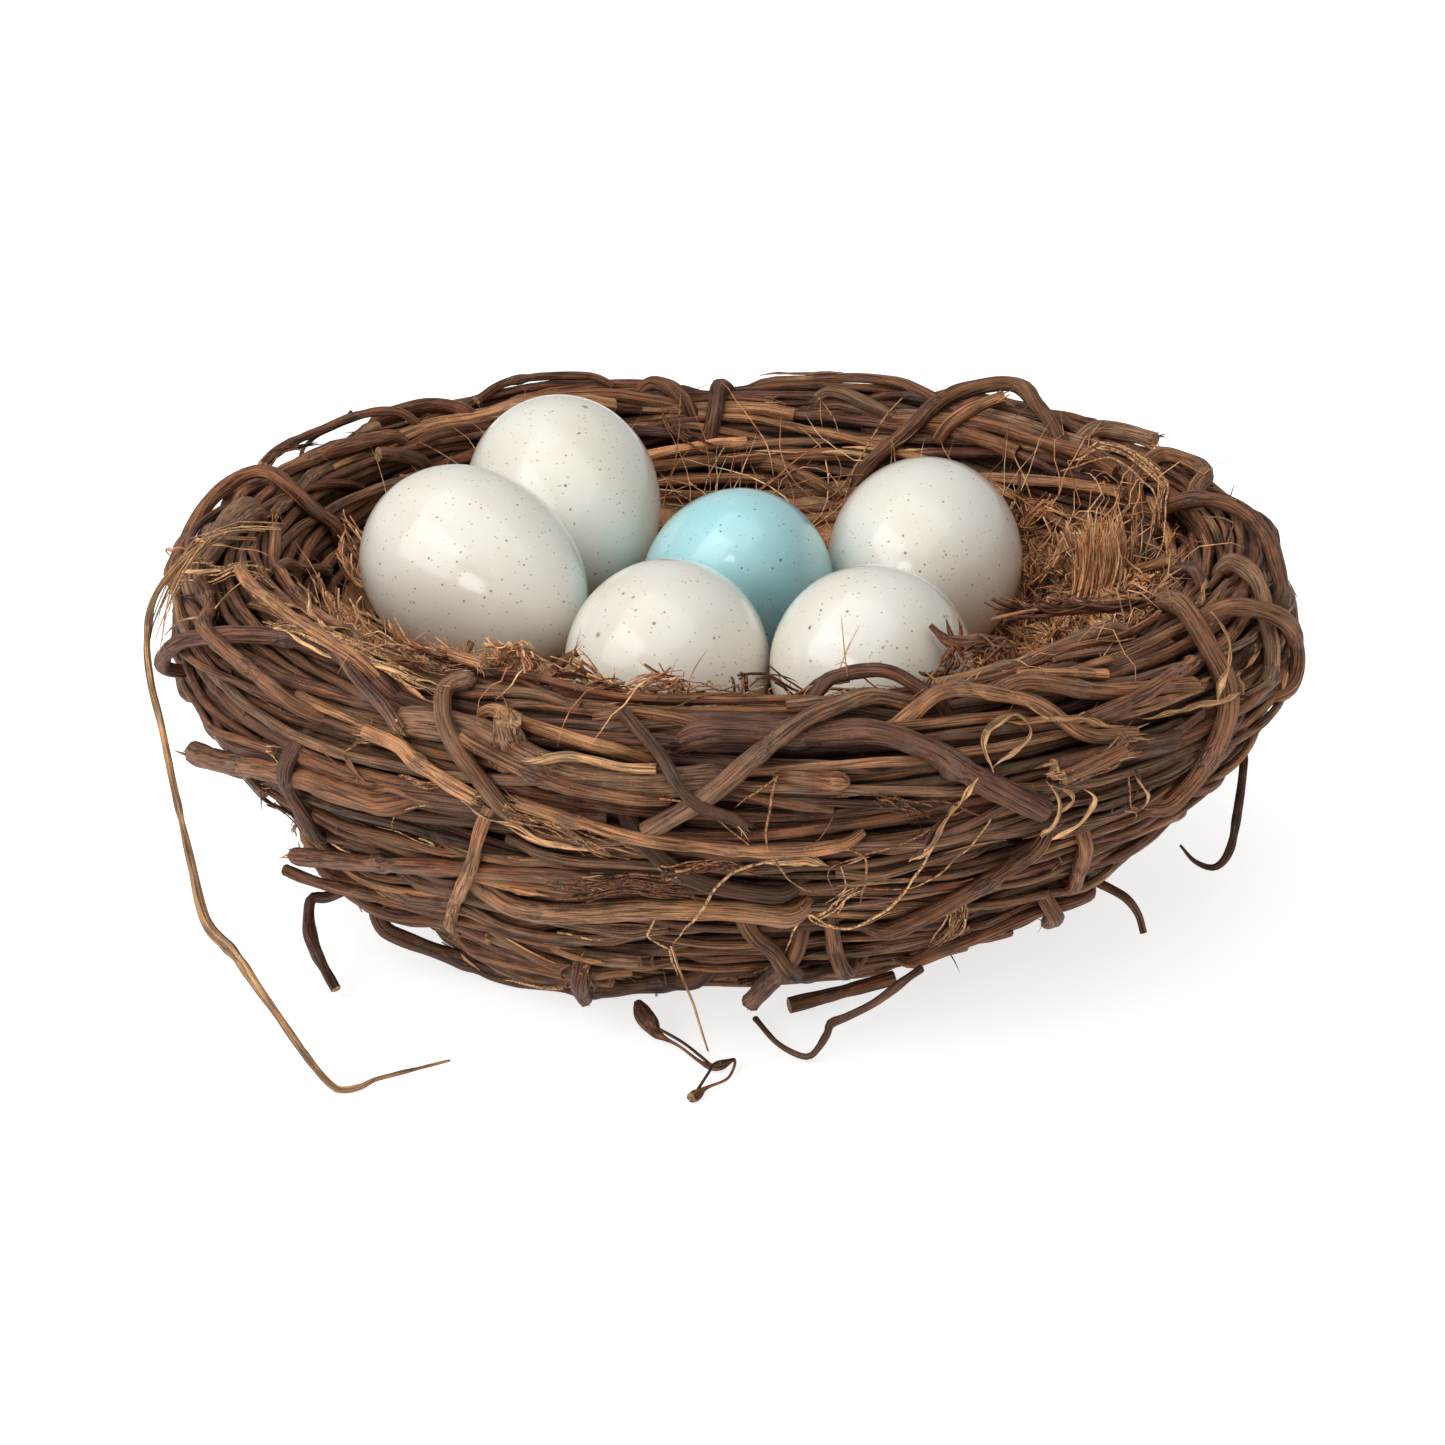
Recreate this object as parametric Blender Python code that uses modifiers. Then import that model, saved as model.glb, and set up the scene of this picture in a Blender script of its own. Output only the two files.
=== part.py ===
"""A bird's nest of wound grapevine, lined with coir, with six eggs in it. Metres, +Z up.

The wall is one thick bowl of vines wound round and round, with a ridge for every vine in it. Single
vines, sticks and tendrils lie on the wall, go over its rim or stick out of it, and each is a solid
of its own. The origin is the middle of the base, on the surface that the nest stands on.

A place on the wall is an angle and a station. The angle is 0 at the front (-Y), grows to the right
(+X) and is 180 degrees at the back. The station is the length along the wall's outline in metres,
from the middle of the base, out over the belly and the rim, and down into the hollow. A third
number is how far the place is lifted off the wall.
"""

import math

import bmesh
import bpy
import numpy as np
from mathutils import Matrix, Vector

# Driving dimensions
BASE_RADIUS = 0.056
BELLY_RADIUS = 0.122
BELLY_HEIGHT = 0.059
RIM_RADIUS = 0.107
RIM_HEIGHT = 0.082
FLOOR_HEIGHT = 0.0375  # of the hollow, at its middle, on the lining
WALL_OUTLINE = [  # (radius, height), a smooth curve goes through them
    (0.0, 0.0),
    (0.030, 0.0),
    (BASE_RADIUS, 0.0),
    (0.072, 0.005),
    (0.089, 0.017),
    (0.104, 0.032),
    (0.116, 0.046),
    (BELLY_RADIUS, BELLY_HEIGHT),
    (0.1205, 0.070),
    (0.115, 0.0785),
    (RIM_RADIUS, RIM_HEIGHT),
    (0.099, 0.0795),
    (0.090, 0.070),
    (0.079, 0.058),
    (0.062, 0.0476),
    (0.036, 0.0405),
    (0.015, 0.0380),
    (0.0, FLOOR_HEIGHT),
]
OUTLINE_PIECES = 24  # straight pieces in each stretch of the smooth outline
SLOPE_REACH = 0.0005  # to each side of a station, where the outline's direction is read

WALL_SINK = 0.0056  # the wound vines lie this deep, so that the vines on them reach the outline
SINK_REACH = 0.016  # from the base's edge, over which the wall sinks to that depth
RIDGE_PITCH = 0.0067  # from one wound vine to the next
RIDGE_HEIGHT = 0.0018  # above and below their middle
RIDGE_SWELL = 0.5  # share by which a ridge grows and shrinks on its way round
SWELLS = 3  # times that it does so in a turn
SWELL_SHIFT = 2.4  # radians by which the swells of a ridge and the groove beside it differ
FIRST_RIDGE = 0.0605  # station
LAST_RIDGE = 0.208
WANDERS = [  # how ridges stray along the outline: how far, times in a turn, twist in 1/m, start
    (0.0046, 2, 20.0, 0.0),
    (0.0030, 3, -33.3, 1.3),
]
WANDER_REACH = 0.020  # from the first and the last ridge, over which they begin to stray
FLOOR_STATIONS = (0.2145, 0.235, 0.262, 0.285)  # of the wall under the lining
WALL_STEPS = 32
GAP = 0.0003  # between pieces that touch

LINING_TOP = 0.0012  # under the outline
LINING_THICKNESS = 0.0026
LINING_START = 0.2165  # station of its edge
LINING_RINGS = (7, 4)  # on its top and on its underside
LINING_STEPS = 28

VINE_PITCH = 0.0088  # length of one straight piece of a vine
VINE_ROOM = 0.0005  # the wall's facets stand this much proud of its curves
STIFFNESS = 0.0016  # most that a vine dips between two points
LAY_ROUNDS = 200
LAY_STEP = 0.5  # share of a push that one round makes
LAY_CLOSE = 0.00003  # a push too small to matter
LAY_PARTS = (0.0, 0.25, 0.5, 0.75, 1.0)  # of a straight piece, where it is tested
FINE_PITCH = 0.001  # between the points of a laid vine that the next ones are tested against

# Eggs: middle, turn of the pointed end from +X towards +Y, its tilt up, length and width
EGGS = {
    "egg_left": ((-0.0551, 0.0018, 0.0706), -44, -13, 0.0560, 0.0428),
    "egg_back_left": ((-0.0372, 0.0452, 0.0722), -76, -17, 0.0561, 0.0427),
    "egg_blue": ((0.0012, 0.0114, 0.0643), -83, 42, 0.0558, 0.0421),
    "egg_front": ((-0.0136, -0.0367, 0.0646), 87, -2, 0.0562, 0.0426),
    "egg_front_right": ((0.0290, -0.0460, 0.0665), 82, -20, 0.0564, 0.0420),
    "egg_right": ((0.0426, 0.0277, 0.0663), 85, 4, 0.0564, 0.0425),
}
EGG_POINT = 0.10  # how much slimmer the pointed half is
EGG_RINGS = 8
EGG_STEPS = 16

# Finishes: name, linear RGB, roughness and coat
DARK_BARK = ("dark bark", (0.045, 0.026, 0.019), 0.62, 0.0)
BROWN_BARK = ("brown bark", (0.115, 0.062, 0.038), 0.66, 0.0)
RED_BARK = ("red bark", (0.105, 0.042, 0.026), 0.60, 0.0)
GREY_BARK = ("grey bark", (0.130, 0.094, 0.072), 0.70, 0.0)
TAN_BARK = ("tan bark", (0.235, 0.140, 0.078), 0.70, 0.0)
STRAW = ("straw", (0.420, 0.285, 0.145), 0.65, 0.0)
COIR = ("coir", (0.260, 0.120, 0.050), 0.85, 0.0)
CREAM_GLAZE = ("cream glaze", (0.760, 0.725, 0.630), 0.25, 0.6)
BLUE_GLAZE = ("blue glaze", (0.240, 0.630, 0.690), 0.22, 0.7)

# Vines that lie on the wall, in the order in which they were laid: diameter, finish, route
VINES = {
    # the lower wall
    "base_loop": (0.0036, DARK_BARK, [
        (-58, 0.096, 0.0056), (-54, 0.090, 0.0063), (-46, 0.080, 0.004), (-37, 0.0745, 0.004),
        (-27, 0.072, 0.0035), (-14, 0.080, 0.001), (0, 0.090, 0)]),
    "wavy_vine": (0.0044, TAN_BARK, [
        (-33, 0.125, 0), (-26, 0.118, 0), (-19, 0.117, 0), (-10, 0.123, 0), (0, 0.124, 0),
        (10, 0.119, 0)]),
    "dark_stick": (0.0025, RED_BARK, [
        (-62, 0.111, 0.009), (-52, 0.106, 0.003), (-40, 0.104, 0), (-26, 0.105, 0)]),
    "broken_stick": (0.0035, RED_BARK, [
        (-63, 0.111, 0.007), (-48, 0.117, 0), (-34, 0.127, 0), (-23, 0.132, 0), (-14, 0.134, 0)]),
    "low_rod": (0.0038, BROWN_BARK, [
        (14, 0.104, 0), (21, 0.114, 0), (27, 0.128, 0), (34, 0.142, 0)]),
    "low_upright": (0.0032, RED_BARK, [
        (37, 0.138, 0), (40, 0.122, 0), (47, 0.102, 0)]),
    "runner": (0.0028, BROWN_BARK, [
        (24, 0.077, 0), (30, 0.091, 0), (44, 0.101, 0), (58, 0.097, 0.001)]),
    "cut_stick": (0.0034, TAN_BARK, [
        (6, 0.068, 0.006), (15, 0.074, 0.002), (25, 0.080, 0)]),
    # the belly and the rim, front
    "left_stub": (0.0046, RED_BARK, [
        (-69, 0.136, 0.005), (-58, 0.140, 0), (-45, 0.145, 0), (-31, 0.146, 0)]),
    "knotted_vine": (0.0060, GREY_BARK, [
        (-26, 0.165, 0), (-21, 0.161, 0), (-15, 0.158, 0), (-8, 0.158, 0), (1, 0.160, 0)]),
    "split_vine": (0.0030, TAN_BARK, [
        (-28, 0.172, 0), (-22, 0.169, 0), (-14, 0.165, 0), (-7, 0.163, 0)]),
    "thick_arc": (0.0052, BROWN_BARK, [
        (-7, 0.168, 0), (3, 0.169, 0), (12, 0.168, 0), (18, 0.164, 0), (24, 0.155, 0),
        (30, 0.147, 0)]),
    "dark_bundle": (0.0042, DARK_BARK, [
        (31, 0.155, 0), (39, 0.155, 0), (50, 0.152, 0)]),
    "rim_hook_left": (0.0034, BROWN_BARK, [
        (-34, 0.168, 0), (-43, 0.173, 0), (-51, 0.173, 0), (-59, 0.168, 0.001),
        (-68, 0.160, 0.003), (-75, 0.151, 0.002), (-78, 0.144, 0)]),
    "dark_diagonal": (0.0035, DARK_BARK, [
        (-11, 0.154, 0), (-8, 0.145, 0), (-2, 0.134, 0), (9, 0.128, 0)]),
    "big_diagonal": (0.0034, GREY_BARK, [
        (-8, 0.149, 0), (-2, 0.157, 0), (5, 0.168, 0), (13, 0.176, 0), (21, 0.178, 0),
        (29, 0.179, 0)]),
    "front_arch": (0.0028, BROWN_BARK, [
        (6, 0.181, 0), (10, 0.182, 0.003), (15, 0.181, 0.004), (20, 0.178, 0.003),
        (24, 0.171, 0)]),
    "pale_arch": (0.0032, TAN_BARK, [
        (16, 0.172, 0), (23, 0.174, 0), (30, 0.170, 0), (35, 0.161, 0), (41, 0.158, 0)]),
    "short_stick": (0.0025, TAN_BARK, [
        (-23, 0.150, 0), (-27, 0.132, 0), (-34, 0.110, 0), (-43, 0.087, 0)]),
    "left_binder": (0.0031, DARK_BARK, [
        (-47, 0.157, 0), (-47, 0.147, 0), (-49, 0.133, 0), (-53, 0.115, 0)]),
    "front_binder": (0.0035, GREY_BARK, [
        (-28, 0.177, 0), (-30, 0.172, 0), (-27, 0.162, 0), (-22, 0.152, 0), (-18, 0.144, 0)]),
    # the rim, left and back
    "crest_left": (0.0036, BROWN_BARK, [
        (-106, 0.176, 0), (-115, 0.180, 0), (-125, 0.182, 0), (-136, 0.184, 0)]),
    "knotty_vine": (0.0058, GREY_BARK, [
        (-101, 0.181, 0), (-95, 0.179, 0), (-88, 0.176, 0), (-81, 0.171, 0), (-76, 0.163, 0)]),
    "inner_left_rod": (0.0028, BROWN_BARK, [
        (-99, 0.186, 0), (-88, 0.189, 0), (-74, 0.190, 0), (-58, 0.187, 0), (-41, 0.178, 0)]),
    "inner_left_dark": (0.0026, DARK_BARK, [
        (-79, 0.186, 0), (-85, 0.192, 0), (-93, 0.199, 0), (-102, 0.206, 0)]),
    "over_left_rim": (0.0035, RED_BARK, [
        (-86, 0.158, 0.001), (-96, 0.164, 0.002), (-102, 0.169, 0.004), (-107, 0.176, 0.003),
        (-106, 0.185, 0.001), (-107, 0.193, 0), (-112, 0.203, 0)]),
    "back_left_arch": (0.0033, RED_BARK, [
        (-129, 0.172, 0), (-134, 0.176, 0.002), (-141, 0.179, 0.002), (-147, 0.188, 0)]),
    "back_loop": (0.0035, BROWN_BARK, [
        (-166, 0.174, 0), (-170, 0.178, 0.001), (-173, 0.184, 0), (-176, 0.194, 0)]),
    "back_binder": (0.0036, BROWN_BARK, [
        (178, 0.174, 0), (-179, 0.180, 0), (-178, 0.189, 0), (-177, 0.199, 0)]),
    "inner_back_diagonal": (0.0033, BROWN_BARK, [
        (178, 0.199, 0), (172, 0.203, 0), (166, 0.207, 0), (160, 0.211, 0)]),
    "back_right_rod": (0.0028, GREY_BARK, [
        (172, 0.180, 0), (166, 0.182, 0), (160, 0.186, 0), (154, 0.188, 0)]),
    "back_arch": (0.0035, BROWN_BARK, [
        (162, 0.212, 0), (160, 0.203, 0), (155, 0.192, 0), (150, 0.180, 0.0025),
        (144, 0.176, 0.006), (138, 0.180, 0.003), (128, 0.189, 0)]),
    # the outside, behind
    "left_back_sweep": (0.0042, BROWN_BARK, [
        (-92, 0.120, 0), (-104, 0.128, 0), (-118, 0.138, 0), (-132, 0.150, 0), (-145, 0.163, 0)]),
    "low_back_rod": (0.0038, RED_BARK, [
        (-128, 0.096, 0), (-145, 0.102, 0), (-162, 0.112, 0), (-178, 0.120, 0)]),
    "outer_back_binder": (0.0036, GREY_BARK, [
        (-152, 0.168, 0), (-157, 0.155, 0), (-161, 0.140, 0), (-163, 0.122, 0)]),
    "back_sweep": (0.0044, TAN_BARK, [
        (-172, 0.146, 0), (174, 0.139, 0), (160, 0.136, 0), (146, 0.140, 0), (133, 0.150, 0)]),
    "right_back_diagonal": (0.0036, DARK_BARK, [
        (152, 0.168, 0), (145, 0.154, 0), (136, 0.138, 0), (127, 0.120, 0), (120, 0.104, 0)]),
    "low_right_rod": (0.0038, BROWN_BARK, [
        (118, 0.132, 0), (104, 0.122, 0), (90, 0.116, 0), (77, 0.118, 0)]),
    # the rim, right
    "right_end": (0.0040, GREY_BARK, [
        (132, 0.185, 0), (128, 0.178, 0.001), (122, 0.174, 0.002)]),
    "inner_right_rod": (0.0032, DARK_BARK, [
        (87, 0.203, 0), (84, 0.194, 0), (77, 0.187, 0), (69, 0.181, 0)]),
    "right_loop_back": (0.0038, BROWN_BARK, [
        (113, 0.195, 0), (116, 0.185, 0), (117, 0.177, 0.001), (112, 0.174, 0.0015),
        (106, 0.178, 0.001), (101, 0.186, 0)]),
    "right_loop_top": (0.0038, BROWN_BARK, [
        (107, 0.193, 0), (100, 0.186, 0.0015), (93, 0.177, 0.0025), (87, 0.172, 0.002),
        (80, 0.168, 0.001), (73, 0.160, 0)]),
    "right_loop_low": (0.0038, GREY_BARK, [
        (79, 0.184, 0), (75, 0.174, 0.001), (71, 0.166, 0.001), (67, 0.158, 0), (61, 0.150, 0)]),
    "right_loop_front": (0.0038, BROWN_BARK, [
        (57, 0.177, 0), (63, 0.173, 0.001), (68, 0.167, 0.002), (72, 0.159, 0.0015),
        (73, 0.151, 0.001), (68, 0.144, 0)]),
    "right_binder": (0.0043, BROWN_BARK, [
        (72, 0.194, 0), (64, 0.186, 0), (58, 0.177, 0), (56, 0.168, 0), (56, 0.157, 0),
        (53, 0.147, 0), (49, 0.136, 0)]),
}

# Loose ends that leave the nest: finish, and places in metres with the radius there
LOOSE_ENDS = {
    "long_straw": (STRAW, [
        ((-0.1010, -0.0150, 0.0840), 0.0006), ((-0.1085, -0.0210, 0.0858), 0.0008),
        ((-0.1145, -0.0300, 0.0846), 0.0009), ((-0.1200, -0.0370, 0.0790), 0.0009),
        ((-0.1215, -0.0420, 0.0715), 0.0009), ((-0.1205, -0.0470, 0.0635), 0.0010),
        ((-0.1180, -0.0520, 0.0552), 0.0010), ((-0.1153, -0.0590, 0.0455), 0.0010),
        ((-0.1112, -0.0690, 0.0325), 0.0011), ((-0.1075, -0.0780, 0.0227), 0.0014),
        ((-0.1011, -0.0860, 0.0190), 0.0015), ((-0.0934, -0.0960, 0.0124), 0.0012),
        ((-0.0794, -0.1120, 0.0012), 0.0008), ((-0.0707, -0.1073, 0.0012), 0.0006),
        ((-0.0571, -0.0996, 0.0016), 0.0003)]),
    "left_tendril": (DARK_BARK, [
        ((-0.0760, -0.0490, 0.0212), 0.0014), ((-0.0844, -0.0501, 0.0170), 0.0014),
        ((-0.0882, -0.0505, 0.0166), 0.0013), ((-0.0888, -0.0532, 0.0138), 0.0013),
        ((-0.0882, -0.0570, 0.0108), 0.0016), ((-0.0862, -0.0612, 0.0075), 0.0013),
        ((-0.0824, -0.0662, 0.0026), 0.0012)]),
    "pod_tendril": (DARK_BARK, [
        ((-0.0195, -0.0790, 0.0052), 0.0010), ((-0.0178, -0.0850, 0.0034), 0.0020),
        ((-0.0150, -0.0890, 0.0024), 0.0018),
        ((-0.0110, -0.0940, 0.0016), 0.0008), ((-0.0040, -0.1010, 0.0014), 0.0007),
        ((0.0003, -0.0995, 0.0018), 0.0006), ((-0.0027, -0.1085, 0.0014), 0.0006),
        ((-0.0086, -0.1165, 0.0018), 0.0012)]),
    "front_tendril": (DARK_BARK, [
        ((0.0045, -0.0793, 0.0020), 0.0009), ((0.0115, -0.0930, 0.0016), 0.0008),
        ((0.0164, -0.0985, 0.0020), 0.0009), ((0.0190, -0.0925, 0.0040), 0.0011),
        ((0.0205, -0.0890, 0.0052), 0.0011), ((0.0290, -0.0850, 0.0080), 0.0010),
        ((0.0350, -0.0812, 0.0112), 0.0010), ((0.0385, -0.0775, 0.0122), 0.0010)]),
    "right_tendril": (DARK_BARK, [
        ((0.1068, -0.0020, 0.0372), 0.0010), ((0.1104, -0.0055, 0.0325), 0.0010),
        ((0.1105, -0.0080, 0.0290), 0.0010), ((0.1094, -0.0110, 0.0210), 0.0009),
        ((0.1078, -0.0130, 0.0125), 0.0009), ((0.1046, -0.0140, 0.0087), 0.0007),
        ((0.1003, -0.0130, 0.0096), 0.0005), ((0.0970, -0.0120, 0.0131), 0.0003)]),
    "right_hook": (BROWN_BARK, [
        ((0.0752, -0.0412, 0.0172), 0.0011), ((0.0799, -0.0440, 0.0158), 0.0011),
        ((0.0830, -0.0470, 0.0147), 0.0011), ((0.0851, -0.0490, 0.0122), 0.0010),
        ((0.0862, -0.0500, 0.0085), 0.0009)]),
}

TUFT_FOOT = (0.0776, 0.0085, 0.0577)
TUFT_LEAN = (0.0052, 0.0015, 0.0210)  # from its foot to its top
TUFT_RADII = (0.0050, 0.0066)  # foot and top
TUFT_FLATNESS = 0.62
TUFT_SIDES = 10


def smooth(points, pieces):
    """Points on the Catmull-Rom curve through the given ones, with so many pieces in each stretch."""
    knots = np.array(points, float)
    knots = np.vstack([2 * knots[0] - knots[1], knots, 2 * knots[-1] - knots[-2]])
    found = []
    for before, start, end, after in zip(knots, knots[1:], knots[2:], knots[3:]):
        for t in np.arange(pieces) / pieces:
            found.append(
                start
                + 0.5 * t * (end - before)
                + t**2 * (before - 2.5 * start + 2 * end - 0.5 * after)
                + t**3 * (1.5 * start - 0.5 * before - 1.5 * end + 0.5 * after)
            )
    return np.array(found + [knots[-2]])


def lengths(points):
    """The length along a row of points up to each of them."""
    steps = np.linalg.norm(np.diff(points, axis=0), axis=1)
    return np.concatenate([[0], np.cumsum(steps)])


OUTLINE = smooth(WALL_OUTLINE, OUTLINE_PIECES)
STATIONS = lengths(OUTLINE)


def outline_at(station):
    """Radius and height on the outline, and the direction out of the wall there."""
    place = [np.interp(station, STATIONS, OUTLINE[:, axis]) for axis in (0, 1)]
    ends = [station - SLOPE_REACH, station + SLOPE_REACH]
    run = [float(np.diff(np.interp(ends, STATIONS, OUTLINE[:, axis]))[0]) for axis in (0, 1)]
    size = math.hypot(*run)
    return place[0], place[1], run[1] / size, -run[0] / size


def on_wall(angle, station, lift=0.0):
    """The place at an angle in degrees and a station, and the direction out of the wall there."""
    radius, height, out, up = outline_at(station)
    sine, cosine = math.sin(math.radians(angle)), math.cos(math.radians(angle))
    normal = Vector((out * sine, -out * cosine, up))
    return Vector((radius * sine, -radius * cosine, height)) + normal * lift, normal


def distance_to_wall(place):
    """How far a place is outside the wall's outline, less than 0 inside it."""
    here = np.array([math.hypot(place.x, place.y), place.z])
    nearest = int(np.argmin(np.linalg.norm(OUTLINE - here, axis=1)))
    radius, height, out, up = outline_at(STATIONS[nearest])
    return (here[0] - radius) * out + (here[1] - height) * up


def material(finish):
    """The finish's material, which is made the first time that it is asked for."""
    name, colour, roughness, coat = finish
    if name in bpy.data.materials:
        return bpy.data.materials[name]
    made = bpy.data.materials.new(name)
    made.use_nodes = True
    shader = made.node_tree.nodes["Principled BSDF"]
    shader.inputs["Base Color"].default_value = (*colour, 1.0)
    shader.inputs["Roughness"].default_value = roughness
    shader.inputs["Metallic"].default_value = 0.0
    shader.inputs["Coat Weight"].default_value = coat
    made.diffuse_color = (*colour, 1.0)
    return made


def add_object(name, data, finish):
    data.materials.append(material(finish))
    piece = bpy.data.objects.new(name, data)
    PARTS.objects.link(piece)
    return piece


def wander(angle, station):
    """How far a wound vine strays along the outline from its own station."""
    turn = math.radians(angle)
    stray = sum(
        reach * math.sin(times * turn + twist * station + start)
        for reach, times, twist, start in WANDERS
    )
    room = min(station - FIRST_RIDGE, LAST_RIDGE - station)
    return stray * min(1.0, max(0.0, room / WANDER_REACH))


def wall_section(angle):
    """The wall at one angle: flat base, ridges over belly and rim, floor under the lining."""
    places = [on_wall(angle, BASE_RADIUS)[0]]
    ridges = round((LAST_RIDGE - FIRST_RIDGE) / RIDGE_PITCH)
    for half in range(2 * ridges + 1):
        station = FIRST_RIDGE + half * RIDGE_PITCH / 2
        swell = 1 + RIDGE_SWELL * math.sin(math.radians(SWELLS * angle) + SWELL_SHIFT * half)
        lift = RIDGE_HEIGHT * swell * (1 if half % 2 else -1)
        sink = WALL_SINK * min(1.0, (station - BASE_RADIUS) / SINK_REACH)
        places.append(on_wall(angle, station + wander(angle, station), lift - sink)[0])
    for station in FLOOR_STATIONS:
        places.append(on_wall(angle, station, -WALL_SINK)[0])
    return places


def make_wall(finish):
    """A loft through the wall's sections, which are unlike because the ridges wander."""
    shape = bmesh.new()
    rings = []
    for step in range(WALL_STEPS):
        section = wall_section(360 * step / WALL_STEPS)
        rings.append([shape.verts.new((p.x, p.y, max(0.0, p.z))) for p in section])
    for ring, following in zip(rings, rings[1:] + rings[:1]):
        for i in range(len(ring) - 1):
            shape.faces.new((ring[i], following[i], following[i + 1], ring[i + 1]))
    shape.faces.new([ring[0] for ring in reversed(rings)])
    shape.faces.new([ring[-1] for ring in rings])
    mesh = bpy.data.meshes.new("woven_wall")
    shape.to_mesh(mesh)
    shape.free()
    return add_object("woven_wall", mesh, finish)


def turned(name, profile, steps, finish):
    """A solid turned round Z from its (radius, height) profile, which runs from top to bottom."""
    mesh = bpy.data.meshes.new(name)
    edges = [(i, i + 1) for i in range(len(profile) - 1)]
    mesh.from_pydata([(radius, 0, height) for radius, height in profile], edges, [])
    piece = add_object(name, mesh, finish)
    screw = piece.modifiers.new("turn", "SCREW")
    screw.steps = screw.render_steps = steps
    screw.use_merge_vertices = True
    screw.merge_threshold = 1e-5
    return piece


def make_lining(finish):
    """The coir mat: a dish that follows the hollow, with its top on the outline."""
    middle = STATIONS[-1]
    top = [(step / LINING_RINGS[0], -LINING_TOP) for step in range(LINING_RINGS[0] + 1)]
    underside = -LINING_TOP - LINING_THICKNESS
    bottom = [(step / LINING_RINGS[1], underside) for step in range(LINING_RINGS[1], -1, -1)]
    profile = []
    for share, side in top + bottom:
        radius, height, out, up = outline_at(middle + (LINING_START - middle) * share)
        profile.append((radius + out * side if share else 0.0, height + up * side))
    return turned("lining", profile, LINING_STEPS, finish)


def make_egg(name, finish):
    middle, turn, tilt, length, width = EGGS[name]
    profile = []
    for ring in range(EGG_RINGS + 1):
        along = math.cos(math.pi * ring / EGG_RINGS)
        around = math.sin(math.pi * ring / EGG_RINGS)
        radius = 0.0 if ring in (0, EGG_RINGS) else width / 2 * around * (1 - EGG_POINT * along)
        profile.append((radius, length / 2 * along))
    egg = turned(name, profile, EGG_STEPS, finish)
    heading = Matrix.Rotation(math.radians(turn), 4, "Z")
    lean = Matrix.Rotation(math.radians(90 - tilt), 4, "Y")
    egg.matrix_world = Matrix.Translation(middle) @ heading @ lean
    egg.data.shade_smooth()
    return egg


def tube(name, places, radii, finish):
    """A vine: a straight-sided tube through its places."""
    curve = bpy.data.curves.new(name, "CURVE")
    curve.dimensions = "3D"
    curve.bevel_depth = max(radii)
    curve.bevel_resolution = 1
    curve.use_fill_caps = True
    spline = curve.splines.new("POLY")
    spline.points.add(len(places) - 1)
    for point, place, radius in zip(spline.points, places, radii):
        point.co = (*place, 1.0)
        point.radius = radius / max(radii)
    return add_object(name, curve, finish)


def spaced_route(route):
    """Angle, station and lift at even steps of about one straight piece along a route."""
    fine = smooth(route, OUTLINE_PIECES)
    run = lengths(np.array([on_wall(*row)[0] for row in fine]))
    count = max(3, round(run[-1] / VINE_PITCH)) + 1
    even = np.linspace(0, run[-1], count)
    return np.stack([np.interp(even, run, fine[:, axis]) for axis in range(3)], axis=1)


def push_needed(place, radius, laid):
    """How far a vine's middle has to move out here, to clear the wall and the vines under it."""
    ridge_top = RIDGE_HEIGHT * (1 + RIDGE_SWELL) - WALL_SINK
    room = ridge_top + VINE_ROOM + GAP + radius - distance_to_wall(place)
    for other, other_radius in laid:
        apart = float(np.min(np.linalg.norm(other - np.array(place), axis=1)))
        room = max(room, radius + other_radius + GAP - apart)
    return room


def lay(route, radius, laid):
    """Places of a vine that follows its route over the wall and over the vines laid before it."""
    rows = spaced_route(unwrapped(route))
    ways = [on_wall(angle, station)[1] for angle, station, _ in rows]
    places = [on_wall(*row)[0] for row in rows]
    for _ in range(LAY_ROUNDS):
        for place in places:
            place.z = max(place.z, radius + GAP)
        pushes = [0.0] * len(places)
        for i in range(len(places) - 1):
            for part in LAY_PARTS:
                push = push_needed(places[i].lerp(places[i + 1], part), radius, laid)
                if push > 0:
                    pushes[i] = max(pushes[i], push * (1.0 if part <= 0.5 else 0.5))
                    pushes[i + 1] = max(pushes[i + 1], push * (1.0 if part >= 0.5 else 0.5))
        for i in range(1, len(places) - 1):
            dip = (places[i - 1] + places[i + 1]) / 2 - places[i]
            pushes[i] = max(pushes[i], dip.dot(ways[i]) - STIFFNESS)
        if max(pushes) <= LAY_CLOSE:
            break
        for place, way, push in zip(places, ways, pushes):
            place += way * push * LAY_STEP
    return places


def unwrapped(route):
    """The route with its angles made to run on over the back, where they change sign."""
    rows = [list(route[0])]
    for angle, station, lift in route[1:]:
        turns = round((rows[-1][0] - angle) / 360)
        rows.append([angle + 360 * turns, station, lift])
    return rows


def fine_line(places):
    """Points at about the fine pitch along straight pieces."""
    found = []
    for start, end in zip(places, places[1:]):
        count = max(1, round((end - start).length / FINE_PITCH))
        found += [start.lerp(end, i / count) for i in range(count)]
    return np.array(found + [places[-1]])


def make_vines():
    laid = []
    for name, (diameter, finish, route) in VINES.items():
        radius = diameter / 2
        places = lay(route, radius, laid)
        tube(name, places, [radius] * len(places), finish)
        laid.append((fine_line(places), radius))


def make_loose_ends():
    for name, (finish, stops) in LOOSE_ENDS.items():
        tube(name, [place for place, _ in stops], [radius for _, radius in stops], finish)


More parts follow.
